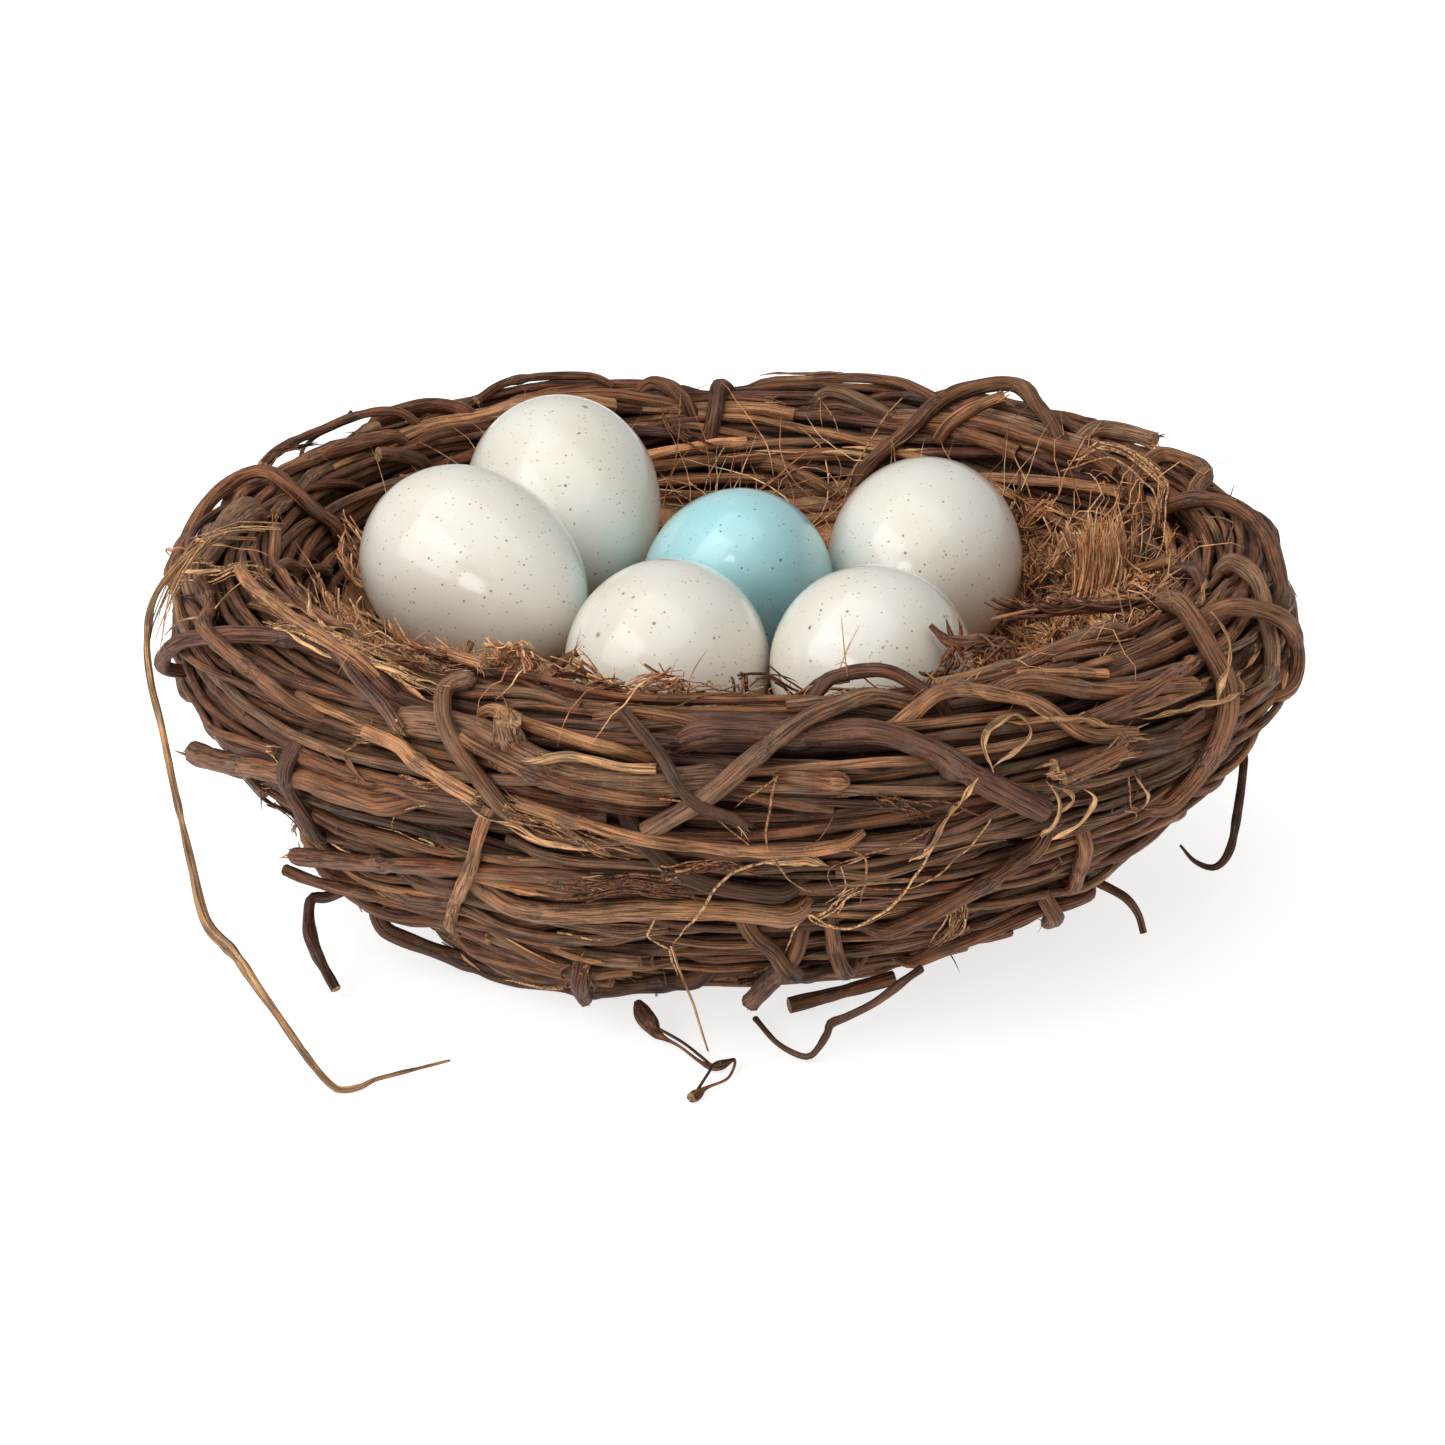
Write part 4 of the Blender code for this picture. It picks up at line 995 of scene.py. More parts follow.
# Flat peeled strips: bark, width, how far off the vines, and route
STRIPS = (
    ("straw", 0.001, 0.0003, [(-77, 0.183), (-77, 0.174), (-80, 0.166), (-86, 0.156)]),
    ("straw", 0.0008, 0.0006, [(-70, 0.18), (-69, 0.172), (-71, 0.164), (-76, 0.156)]),
    ("pale", 0.0008, 0.001, [(-79, 0.185), (-81, 0.176), (-87, 0.168), (-95, 0.16)]),
    ("straw", 0.0012, 0.0012, [
        (-61, 0.184, 0.003), (-56, 0.181, 0.001), (-50, 0.1775), (-45, 0.176), (-39, 0.1745)]),
    ("straw", 0.0009, 0, [(-58, 0.173), (-50, 0.172), (-44, 0.172), (-36, 0.173), (-29, 0.172)]),
    ("pale", 0.0011, 0, [(-64, 0.181), (-55, 0.182), (-47, 0.18)]),
    ("tan", 0.0016, 0, [(-56, 0.178), (-47, 0.177), (-38, 0.174), (-30, 0.168)]),
    ("straw", 0.0017, 0.0008, [
        (24, 0.157), (24, 0.161), (25, 0.1655), (28, 0.1665), (29, 0.163), (27, 0.16), (24.5, 0.1575)]),
    ("straw", 0.0015, 0.001, [
        (30, 0.153), (31, 0.149), (31, 0.143), (31.5, 0.138), (33.5, 0.1375), (35, 0.141), (36, 0.146),
        (34, 0.15)]),
    ("straw", 0.001, 0.0008, [(30, 0.153), (32, 0.151), (33, 0.148), (31, 0.146)]),
    ("pale", 0.0022, 0.0006, [(22.5, 0.1565), (20.5, 0.151), (18.7, 0.146), (17, 0.138)]),
    ("dark", 0.0014, 0.0003, [(20, 0.15), (18, 0.145), (17, 0.14)]),
    ("straw", 0.0018, 0.0015, [(57, 0.172), (56, 0.166), (54, 0.16), (53, 0.157)]),
    ("straw", 0.0009, 0.0008, [(41, 0.149), (43, 0.144), (42, 0.141), (40, 0.142)]),
    ("tan", 0.0014, 0, [(42, 0.163), (47, 0.162), (52, 0.161)]),
    ("straw", 0.0024, 0, [(2, 0.14), (7, 0.1396), (13, 0.139)]),
    ("tan", 0.0016, 0, [(27, 0.166), (33, 0.164), (39, 0.16)]),
    ("pale", 0.0012, 0, [(-26, 0.15), (-20, 0.146), (-14, 0.143), (-9, 0.142)]),
    ("pale", 0.001, 0, [(-22, 0.145), (-16, 0.143), (-10, 0.139)]),
    ("tan", 0.0018, 0, [(62, 0.178), (68, 0.18), (73, 0.183)]),
    ("tan", 0.0026, 0.001, [(56, 0.157), (60, 0.16), (65, 0.161)]),
    ("pale", 0.0014, 0.0006, [(43, 0.16), (51, 0.158), (60, 0.156)]),
    ("grey", 0.002, 0.0004, [(2, 0.083), (6, 0.087), (10, 0.094)]),
)
# Hairs: bark, thickness, how far off the vines, and route
HAIRS = (
    ("straw", 0.0006, 0.0008, [
        (18.5, 0.143), (17, 0.124), (13, 0.112), (8, 0.1205), (7, 0.122), (6.8, 0.116), (6, 0.1),
        (5, 0.088)]),
    ("straw", 0.0006, 0.001, [
        (8, 0.1455), (5, 0.144), (1, 0.141), (-1, 0.138), (-4, 0.125), (-7, 0.111)]),
    ("straw", 0.0005, 0.0012, [(-7, 0.111), (-9, 0.1155), (-8.6, 0.12), (-7.6, 0.127)]),
    ("straw", 0.00055, 0.0012, [(-7, 0.111), (-7, 0.108), (-7, 0.104), (-6.8, 0.1, 0.002)]),
    ("straw", 0.00042, 0.001, [(-11, 0.084), (-12, 0.076), (-13, 0.069)]),
    ("tan", 0.00052, 0.0012, [(4, 0.16), (3.2, 0.154), (3, 0.146), (6, 0.134), (9, 0.13)]),
    ("tan", 0.00044, 0.001, [(4, 0.16), (2, 0.157), (1, 0.156), (0, 0.154)]),
    ("straw", 0.00044, 0.0008, [(7, 0.124), (9, 0.1155), (11, 0.113), (14, 0.112), (18, 0.119)]),
    ("tan", 0.0005, 0.0008, [(10, 0.1455), (11.5, 0.1435), (12.4, 0.14), (13, 0.124)]),
    ("tan", 0.0004, 0.0006, [(-7, 0.156), (-3, 0.154), (1, 0.147), (5, 0.138)]),
    ("straw", 0.00044, 0.0008, [(24, 0.148), (22, 0.138), (20, 0.13), (16, 0.127), (13, 0.128)]),
    ("tan", 0.0004, 0.0008, [(22, 0.15), (17, 0.146), (12, 0.143), (9, 0.139), (10, 0.13)]),
    ("straw", 0.00036, 0.0008, [(10, 0.139), (11, 0.132), (9, 0.126)]),
    ("tan", 0.00036, 0.001, [(-173, 0.186), (-172, 0.198), (-170, 0.207)]),
    ("straw", 0.00036, 0.001, [(-180, 0.197), (-177, 0.204), (-175, 0.212)]),
    ("tan", 0.00036, 0.001, [(169, 0.184), (166, 0.19), (164, 0.196)]),
    ("pale", 0.00046, 0.0012, [(157, 0.184), (159, 0.193), (161, 0.204), (162, 0.216)]),
    ("pale", 0.0004, 0.001, [(137, 0.192), (130, 0.202), (125, 0.211)]),
    ("straw", 0.0006, 0.002, [
        (126, 0.19), (120, 0.1845), (112, 0.1835), (103, 0.186), (97, 0.19), (93, 0.196), (91, 0.203)]),
    ("pale", 0.0005, 0.0022, [
        (128, 0.193), (121, 0.188), (113, 0.187), (105, 0.189), (99, 0.194), (96, 0.202)]),
    ("straw", 0.0004, 0.0015, [(-30, 0.188), (-20, 0.186), (-8, 0.187), (4, 0.186)]),
    ("tan", 0.0004, 0.0008, [(40, 0.15), (41, 0.143), (43, 0.137), (42, 0.133)]),
    ("dark", 0.0005, 0.0006, [(41, 0.15), (42, 0.146), (41, 0.142), (39, 0.141), (39, 0.145)]),
    ("straw", 0.00044, 0.0008, [(-20, 0.112), (-17, 0.1115), (-14, 0.112)]),
    ("tan", 0.0004, 0.0014, [(-17, 0.178), (-14.5, 0.182, 0.001), (-13, 0.189, 0.002)]),
    ("dark", 0.0004, 0.0014, [(-6, 0.18), (-6.2, 0.185, 0.001), (-5.5, 0.191, 0.003)]),
    ("tan", 0.0004, 0.0012, [(-2, 0.179), (-2.6, 0.184, 0.001), (-3.4, 0.19, 0.002)]),
)
# Ragged bundles: barks, fibres, width, how far they fray, how far off the vines, and route
SHREDS = (
    ("straw pale", 13, 0.0018, 0.001, 0.0004, [(-70, 0.184), (-74, 0.178), (-76, 0.172), (-82, 0.162)]),
    ("tan pale", 10, 0.0018, 0.0012, 0.0004, [(-73, 0.184), (-76, 0.176), (-80, 0.169), (-86, 0.158)]),
    ("straw pale straw", 34, 0.0026, 0.0004, 0.0002, [
        (-59, 0.172), (-52, 0.174), (-45, 0.174), (-38, 0.173), (-33, 0.172), (-29, 0.1695)]),
    ("straw pale", 16, 0.0016, 0.0004, 0.0006, [
        (-52, 0.177), (-45, 0.176), (-38, 0.1745), (-31, 0.172)]),
    ("tan brown pale", 22, 0.0024, 0.0008, 0.0002, [(-44, 0.18), (-36, 0.178), (-28, 0.175)]),
    ("red dark brown", 44, 0.0026, 0.001, 0.0004, [(-37, 0.184), (-32, 0.181), (-26, 0.177)]),
    ("dark red", 40, 0.0024, 0.001, 0.0004, [(-19, 0.189), (-15, 0.185), (-11, 0.182)]),
    ("tan straw", 34, 0.0022, 0.0012, 0.0002, [(-21, 0.152), (-16, 0.147), (-11, 0.143)]),
    ("red brown", 50, 0.003, 0.0008, 0.0002, [(-18, 0.134), (-10, 0.1325), (-2, 0.132)]),
    ("red tan", 40, 0.0022, 0.0008, 0.0002, [(-7, 0.141), (-2, 0.1385), (3, 0.136)]),
    ("dark dark brown", 30, 0.0018, 0.0014, 0.0004, [(13, 0.1555), (15.5, 0.153), (18, 0.15)]),
    ("tan red", 44, 0.0026, 0.001, 0.0004, [(30, 0.1535), (34, 0.1545), (40, 0.157)]),
    ("tan red straw", 70, 0.0024, 0.0008, 0.0006, [
        (25.5, 0.119), (26, 0.112), (26.5, 0.103), (25.5, 0.097)]),
    ("red dark", 40, 0.0022, 0.0006, 0.0002, [(1, 0.084), (5, 0.086), (9, 0.09), (13, 0.096)]),
    ("tan red", 40, 0.0022, 0.001, 0.0002, [(-17.5, 0.104), (-19, 0.095), (-21, 0.083)]),
    ("straw pale", 22, 0.0012, 0.001, 0.002, [
        (127, 0.191), (120, 0.1855), (112, 0.1845), (103, 0.187), (96, 0.193)]),
    ("dark brown red", 34, 0.002, 0.0012, 0.0006, [
        (-112, 0.172), (-116, 0.172, 0.002), (-119, 0.176), (-117, 0.181)]),
)


def over_vines(pile, route, radius, lift, pitch=0.0008, hold=0.0012, reach=0.004):
    """Places and ways of a thin piece that lies on the vines along a route.

    The height in a row of the route is how much further off the vines it is there.
    """
    angle, station, off = spaced(route, pitch)
    radii = np.full(len(angle), radius)
    rest = bridged(np.maximum(pile.rest(angle, station, radii), -0.004), hold / pitch, reach / pitch)
    places, ways = on_wall(angle, station, rest + lift + off)
    places[:, 2] = np.maximum(places[:, 2], radius * 1.2)
    return places, ways


def build_twig(stock, pile, name):
    """Builds a twig on the vines. Its tucked ends go in between them."""
    bark, diameter, ends, lift, route = TWIGS[name]
    ends = ends.split()
    places, ways = over_vines(pile, route, diameter / 2, lift, TWIG_PITCH, 0.0016, 0.008)
    run = lengths(places)
    knots = CANE_KNOTS if name == "cane" else TWIG_KNOTS
    vine = Vine(seeded(name), bark, run[-1], TWIG_PITCH, diameter / 2, TWIG_SIDES,
                ribs=0.04, knots=knots, taper=0.05, flat=0.04)
    near = [np.clip(1 - far / TWIG_TUCK, 0, 1) ** 2 for far in (run, run[-1] - run)]
    dip = [share * (end == "tucked") for share, end in zip(near, ends)]
    places = places - ways * (dip[0] + dip[1])[:, None] * diameter * 1.2
    places, ways = follow(vine, places, ways, run, 0.00018)
    if ends[0] == "knob":
        vine.knob(0.35, 0.35, 0.70, 0.90)
    vine.build(stock, places, ways, ends)


def build_strip(stock, rng, pile, bark, width, lift, route):
    """A flat strip on the vines, which turns a little as it runs."""
    places, ways = over_vines(pile, route, 0.0004, lift)
    tilt = rng.uniform(-0.5, 0.5) + 0.9 * ripple(rng, lengths(places), 0.01, 0.03, 3)
    _, out, side = frames(places, ways)
    ways = out * np.cos(tilt)[:, None] + side * np.sin(tilt)[:, None]
    places = places + ways * 0.0004
    tone = np.array(BARK[bark]) * rng.uniform(0.85, 1.15)
    ribbon(stock, rng, places, ways, width, STRIP_THICK, tone, 0.12)


def build_hair(stock, rng, pile, bark, width, lift, route):
    """One hair on the vines, which wavers a little."""
    places, _ = over_vines(pile, route, width / 2, lift, 0.0010, 0.0024, 0.0080)
    run = lengths(places)
    places = places + 0.00015 * np.stack([ripple(rng, run, 0.008, 0.03, 3) for _ in range(3)], axis=1)
    places[:, 2] = np.maximum(places[:, 2], width)
    tone = np.array([BARK[bark]]) * rng.uniform(0.8, 1.2)
    fibres(stock, rng, places[None], np.array([width / 2]), tone, 4)


def clear_fibres(stock, rng, paths, radii, tones):
    """Fibres along paths, which are moved out of the eggs and the floor first."""
    paths = clear_of_eggs(paths)
    paths[..., 2] = np.maximum(paths[..., 2], FIBRE_FLOOR_GAP)
    fibres(stock, rng, paths, rng.uniform(*radii, len(paths)), tones(rng, len(paths)))


def tangle(stock, rng, places, ways, count, width, rise, tones, radii, share=(0.35, 0.80)):
    """Fibres that run together along a path, each over a share of it, and fray at their ends."""
    _, out, side = frames(places, ways)
    steps = np.linspace(0, 1, len(places))
    part = rng.uniform(*share, (count, 1))
    start = rng.uniform(-0.04, 1.04 - part, (count, 1))
    spot = np.linspace(0, 1, 9)[None, :]
    middle, out, side = (read_at(start + part * spot, steps, rows) for rows in (places, out, side))
    across = width * (rng.normal(0, 0.45, (count, 1)) + rng.normal(0, 0.35, (count, 1)) * spot)
    waves = math.tau * spot * rng.uniform(0.5, 1.6, (count, 1))
    across = across + 0.18 * width * np.sin(waves + start * 40)
    fray = (2 * spot - 1) ** 2  # 1 at a fibre's ends and 0 at its middle
    off = rise * (rng.uniform(0, 1, (count, 1)) + rng.uniform(-0.3, 1.8, (count, 1)) * fray)
    paths = middle + out * np.maximum(off, 0)[..., None] + side * across[..., None]
    clear_fibres(stock, rng, paths, radii, tones)


def bark_fibres(*barks):
    """Gives tones for fibres of such barks."""
    kinds = np.array([BARK[bark] for bark in barks])

    def tones(rng, count):
        return kinds[rng.integers(0, len(kinds), count)] * rng.uniform(0.7, 1.35, (count, 1))

    return tones


def build_shred(stock, rng, pile, barks, count, width, rise, lift, route):
    """A ragged bundle of bark fibres on the vines."""
    places, ways = over_vines(pile, route, SHRED_REST, lift, 0.0010)
    tangle(stock, rng, places, ways, round(0.55 * count), width, 0.6 * rise, bark_fibres(*barks.split()),
           SHRED_RADII)


def sprigs(stock, rng, pile, tones, count, angles, stations, sizes):
    """Fibres that stick out of the vines and bend over."""
    angle, station = rng.uniform(*angles, count), rng.uniform(*stations, count)
    places, ways = on_wall(angle, station, pile.height(angle, station) - 0.0008)
    aim = unit(ways + 0.8 * rng.normal(size=(count, 3)))
    bend = unit(rng.normal(size=(count, 3))) + np.array([0, 0, -0.3])
    size = rng.uniform(*sizes, (count, 1, 1))
    steps = np.linspace(0, 1, 7)[None, :, None]
    paths = places[:, None] + size * (aim[:, None] * steps + 0.45 * bend[:, None] * steps**2)
    clear_fibres(stock, rng, paths, SPRIG_RADII, tones)


def scatter(stock, rng, pile, count, angles, stations, sizes, widths, lift, barks):
    """Short hairs and bits of bark that lie about on the vines at all angles."""
    for _ in range(count):
        angle, station = rng.uniform(*angles), rng.uniform(*stations)
        heading, size = rng.normal(0, 0.6) + rng.choice([0, math.pi]), rng.uniform(*sizes)
        route = [(angle, station)]
        for _ in range(3):
            angle += math.degrees(size / 3 * math.cos(heading) / ring_radius(station, 0.02))
            station = float(np.clip(station + size / 3 * math.sin(heading), 0.06, 0.25))
            heading += rng.normal(0, 0.35)
            route.append((angle, station))
        if np.ptp(pile.height(*np.array(route).T)) > ROUGH:
            continue
        width = rng.uniform(*widths)
        bark = rng.choice(barks)
        if " " in bark:
            strands = rng.integers(7, 18)
            build_shred(stock, rng, pile, bark, strands, width, 0.0007, rng.uniform(*lift), route)
        else:
            build = build_strip if width > WIDEST_HAIR else build_hair
            build(stock, rng, pile, bark, width, rng.uniform(*lift), route)


# Loose ends that leave the nest: bark, slot, and places with the radius there
LOOSE_ENDS = {
    "long_straw": ("straw", "straw", [
        (-0.101, -0.015, 0.084, 0.0005), (-0.1085, -0.021, 0.0858, 0.0006),
        (-0.1145, -0.03, 0.0846, 0.0007), (-0.12, -0.037, 0.079, 0.0007),
        (-0.1215, -0.042, 0.0715, 0.0007), (-0.1205, -0.047, 0.0635, 0.0008),
        (-0.118, -0.052, 0.0552, 0.0008), (-0.1153, -0.059, 0.0455, 0.0008),
        (-0.1112, -0.069, 0.0325, 0.0009), (-0.1075, -0.078, 0.0227, 0.0012),
        (-0.1011, -0.086, 0.019, 0.0013), (-0.0934, -0.096, 0.0124, 0.0009),
        (-0.0794, -0.112, 0.0012, 0.0008), (-0.0707, -0.1073, 0.0012, 0.0006),
        (-0.0571, -0.0996, 0.0016, 0.0003)]),
    "left_tendril": ("dark", "dark_bark", [
        (-0.076, -0.049, 0.0212, 0.0014), (-0.0844, -0.0501, 0.017, 0.0014),
        (-0.0882, -0.0505, 0.0166, 0.0013), (-0.0888, -0.0532, 0.0138, 0.0013),
        (-0.0882, -0.057, 0.0108, 0.0016), (-0.0862, -0.0612, 0.0075, 0.0013),
        (-0.0824, -0.0662, 0.0026, 0.0012)]),
    "pod_tendril": ("red", "dark_bark", [
        (-0.0196, -0.0775, 0.0046, 0.0008), (-0.0186, -0.0812, 0.0038, 0.0018),
        (-0.017, -0.085, 0.0032, 0.0019), (-0.0155, -0.0882, 0.0024, 0.0012),
        (-0.0138, -0.089, 0.0016, 0.0005), (-0.0108, -0.0925, 0.0014, 0.0003),
        (-0.0067, -0.0995, 0.0012, 0.0004), (-0.0045, -0.1023, 0.0014, 0.0008),
        (-0.0025, -0.1022, 0.0014, 0.0007), (0.0003, -0.0986, 0.0012, 0.0004),
        (-0.0011, -0.1073, 0.0012, 0.0003), (-0.0055, -0.1121, 0.0012, 0.0004),
        (-0.0075, -0.116, 0.0013, 0.0012), (-0.0084, -0.1172, 0.0014, 0.0011)]),
    "front_tendril": ("dark", "dark_bark", [
        (0.0045, -0.0793, 0.0018, 0.0006), (0.0085, -0.0901, 0.0015, 0.0005),
        (0.0124, -0.0961, 0.0015, 0.0006), (0.0152, -0.0982, 0.0018, 0.0007),
        (0.0172, -0.096, 0.0028, 0.0007), (0.019, -0.0922, 0.0042, 0.0008),
        (0.0198, -0.0895, 0.0052, 0.001), (0.0232, -0.0878, 0.006, 0.0008),
        (0.029, -0.085, 0.008, 0.0008), (0.035, -0.0812, 0.0112, 0.0009),
        (0.0385, -0.0775, 0.0122, 0.0009)]),
    "cut_stick": ("brown", "tan_bark", [
        (0.0115, -0.0768, 0.0036, 0.0016), (0.0225, -0.0728, 0.0049, 0.0015),
        (0.0333, -0.0688, 0.0063, 0.0015)]),
    "right_tendril": ("dark", "dark_bark", [
        (0.1068, -0.002, 0.0372, 0.001), (0.1104, -0.0055, 0.0325, 0.001),
        (0.1105, -0.008, 0.029, 0.001), (0.1094, -0.011, 0.021, 0.0009),
        (0.1078, -0.013, 0.0125, 0.0009), (0.1046, -0.014, 0.0087, 0.0007),
        (0.1003, -0.013, 0.0096, 0.0005), (0.097, -0.012, 0.0131, 0.0003)]),
    "right_hook": ("brown", "brown_bark", [
        (0.0752, -0.0412, 0.0172, 0.0011), (0.0799, -0.044, 0.0158, 0.0011),
        (0.083, -0.047, 0.0147, 0.0011), (0.0851, -0.049, 0.0122, 0.001),
        (0.0862, -0.05, 0.0085, 0.0009)]),
}
THINNEST = 0.00022  # radius of a loose vine


def build_loose(stock, name, bark, stops, sides=9, ends=("cut", "cut")):
    """A thin loose vine through places in the air or along the floor."""
    rows = smooth(stops, 10)
    run = lengths(rows[:, :3])
    vine = Vine(seeded(name), bark, run[-1], TWIG_PITCH, 1, sides, ribs=0.03, knots=0.030, taper=0, flat=0)
    rows = read_at(vine.run, run, rows)
    vine.radius = vine.radius * np.maximum(rows[:, 3], THINNEST)
    places = rows[:, :3]
    ways = np.broadcast_to(unit(np.array([0.3, -0.8, 0.5])), places.shape)
    places[:, 2] = np.maximum(places[:, 2], vine.radius * 1.15)
    vine.build(stock, places, ways, ends)


# ------------------------------------------------------------------ the eggs

# Middle, turn of the pointed end from +X towards +Y, its tilt up, length and width
EGGS = {
    "egg_left": ((-0.0551, 0.0018, 0.0706), -44, -13, 0.056, 0.0428),
    "egg_back_left": ((-0.0372, 0.0452, 0.0722), -76, -17, 0.0561, 0.0427),
    "egg_blue": ((0.0012, 0.0114, 0.0643), -83, 42, 0.0558, 0.0421),
    "egg_front": ((-0.0136, -0.0367, 0.0646), 87, -2, 0.0562, 0.0426),
    "egg_front_right": ((0.029, -0.046, 0.0665), 82, -20, 0.0564, 0.042),
    "egg_right": ((0.0426, 0.0277, 0.0663), 85, 4, 0.0564, 0.0425),
}
EGG_POINT = 0.10  # how much slimmer the pointed half is
EGG_RINGS = 44
EGG_STEPS = 64
EGG_GAP = 0.0002  # fibres stay so far off the eggs


def egg_stand(name):
    """The matrix that puts an egg, made along Z round the origin, in its place, and the egg's size."""
    middle, turn, tilt, *size = EGGS[name]
    heading = Matrix.Rotation(math.radians(turn), 4, "Z")
    lean = Matrix.Rotation(math.radians(90 - tilt), 4, "Y")
    return np.array(Matrix.Translation(middle) @ heading @ lean), *size


def build_egg(name, finish, slot):
    """An egg of rings of points, which takes the place of the node of its name."""
    stand, length, width = egg_stand(name)
    ring = np.linspace(0, math.pi, EGG_RINGS + 1)[1:-1, None]
    turn = np.linspace(0, math.tau, EGG_STEPS, endpoint=False)[None, :]
    radius = width / 2 * np.sin(ring) * (1 - EGG_POINT * np.cos(ring))
    level = np.broadcast_to(length / 2 * np.cos(ring), (len(ring), EGG_STEPS))
    local = np.stack([radius * np.cos(turn), radius * np.sin(turn), level], -1)
    local = np.vstack([local.reshape(-1, 3), [(0, 0, length / 2), (0, 0, -length / 2)]])
    step = np.arange(EGG_STEPS)
    last = (EGG_RINGS - 2) * EGG_STEPS
    top, bottom = np.full(EGG_STEPS, len(local) - 2), np.full(EGG_STEPS, len(local) - 1)
    fans = np.vstack([
        np.stack([top, step, (step + 1) % EGG_STEPS], -1),
        np.stack([bottom, last + (step + 1) % EGG_STEPS, last + step], -1),
    ])
    grains = local + 0.2 * (1 + list(EGGS).index(name))  # each egg has its own speckles
    stock = Stock()
    stock.add(local @ stand[:3, :3].T + stand[:3, 3], np.ones(3), grains,
              ring_faces(EGG_RINGS - 1, EGG_STEPS)[:, ::-1], fans)
    stock.make(name + "_glazed", finish, slot, name)


def clear_of_eggs(places):
    """Places moved out of the eggs, to a little over their surface."""
    places = places.copy()
    for name in EGGS:
        stand, length, width = egg_stand(name)
        local = (places - stand[:3, 3]) @ stand[:3, :3]
        along = np.clip(local[..., 2] / (length / 2), -1, 1)
        scale = np.stack([np.full(along.shape, width / 2)] * 2 + [np.full(along.shape, length / 2)], -1)
        scale[..., :2] *= (1 - EGG_POINT * along)[..., None]
        scale = scale + EGG_GAP
        far = np.linalg.norm(local / scale, axis=-1, keepdims=True)
        local = np.where(far < 1, local / np.maximum(far, 0.05), local)
        places = local @ stand[:3, :3].T + stand[:3, 3]
    return places


# ------------------------------------------------------------------ the coir

COIR_TONES = np.array([
    (0.70, 0.35, 0.155), (0.50, 0.212, 0.088), (0.84, 0.52, 0.28), (0.26, 0.104, 0.044),
])
COIR_SHARES = (0.42, 0.28, 0.20, 0.10)
FIBRE_STEPS = 9
FIBRE_LIFT = 0.0002  # the least height of a fibre over the pile


def coir_tones(rng, count):
    """Tones for fibres of coir."""
    return COIR_TONES[rng.choice(4, count, p=COIR_SHARES)] * rng.uniform(0.8, 1.2, (count, 1))


def eased(heights):
    """Heights along rows of fibres, taut over the hollows between the vines."""
    for _ in range(2):
        wide = np.pad(heights, ((0, 0), (1, 1)), mode="edge")
        highest = np.maximum(np.maximum(wide[:, :-2], wide[:, 2:]), heights)
        wide = np.pad(highest, ((0, 0), (1, 1)), mode="edge")
        heights = (wide[:, :-2] + highest + wide[:, 2:]) / 3
    return heights


def wall_fibres(stock, pile, rng, count, angles, stations, sizes, lift, spread, radii):
    """Fibres that lie about on the wall or the lining, and stand off it a little."""
    angle = rng.uniform(*angles, count)
    station = rng.uniform(*stations, count)
    heading = rng.normal(0, spread, count) + rng.choice([0, math.pi], count)
    bend = rng.normal(0, 0.16, count)
    step = rng.uniform(*sizes, count) / (FIBRE_STEPS - 1)
    rows = []
    for _ in range(FIBRE_STEPS):
        rows.append((angle, station))
        angle = angle + np.degrees(step * np.cos(heading) / ring_radius(station, 0.006))
        station = station + step * np.sin(heading)
        heading = heading + bend + rng.normal(0, 0.09, count)
    angle, station = np.stack(rows, axis=-1)
    station = np.clip(station, 0.060, STATIONS[-1] - 0.001)
    waves = np.linspace(0, 1, FIBRE_STEPS)[None] + rng.uniform(0, 9, (count, 1))
    rise = np.abs(ripple(rng, waves, 0.5, 1.6, 3)) * rng.uniform(*lift, (count, 1))
    height = eased(pile.height(angle, station)) + FIBRE_LIFT + rise
    clear_fibres(stock, rng, on_wall(angle, station, height)[0], radii, coir_tones)


LINING_TOP = -0.0012  # the height of the felt
DISH_RINGS = 30
DISH_STEPS = 110


def coir_dish(stock, rng):
    """The felted face of the mat under the loose fibres."""
    share = np.linspace(0, 1, DISH_RINGS + 1)[:, None]
    station = STATIONS[-1] + (LINING_EDGE - 0.008 - STATIONS[-1]) * share
    angle = np.linspace(0, 360, DISH_STEPS, endpoint=False)[None, :]
    station, angle = np.broadcast_arrays(station, angle)
    height = LINING_TOP - 0.0004 + 0.0005 * rng.normal(size=station.shape)
    height[0] = LINING_TOP
    places = on_wall(angle, station, height)[0].reshape(-1, 3)
    grains = places * np.array([1.0, 0.25, 1.0]) + 0.3
    stock.add(places, coir_tones(rng, len(places)) * 0.55, grains,
              ring_faces(DISH_RINGS + 1, DISH_STEPS)[:, ::-1])


# ------------------------------------------------------------------ bits, wads and the tuft

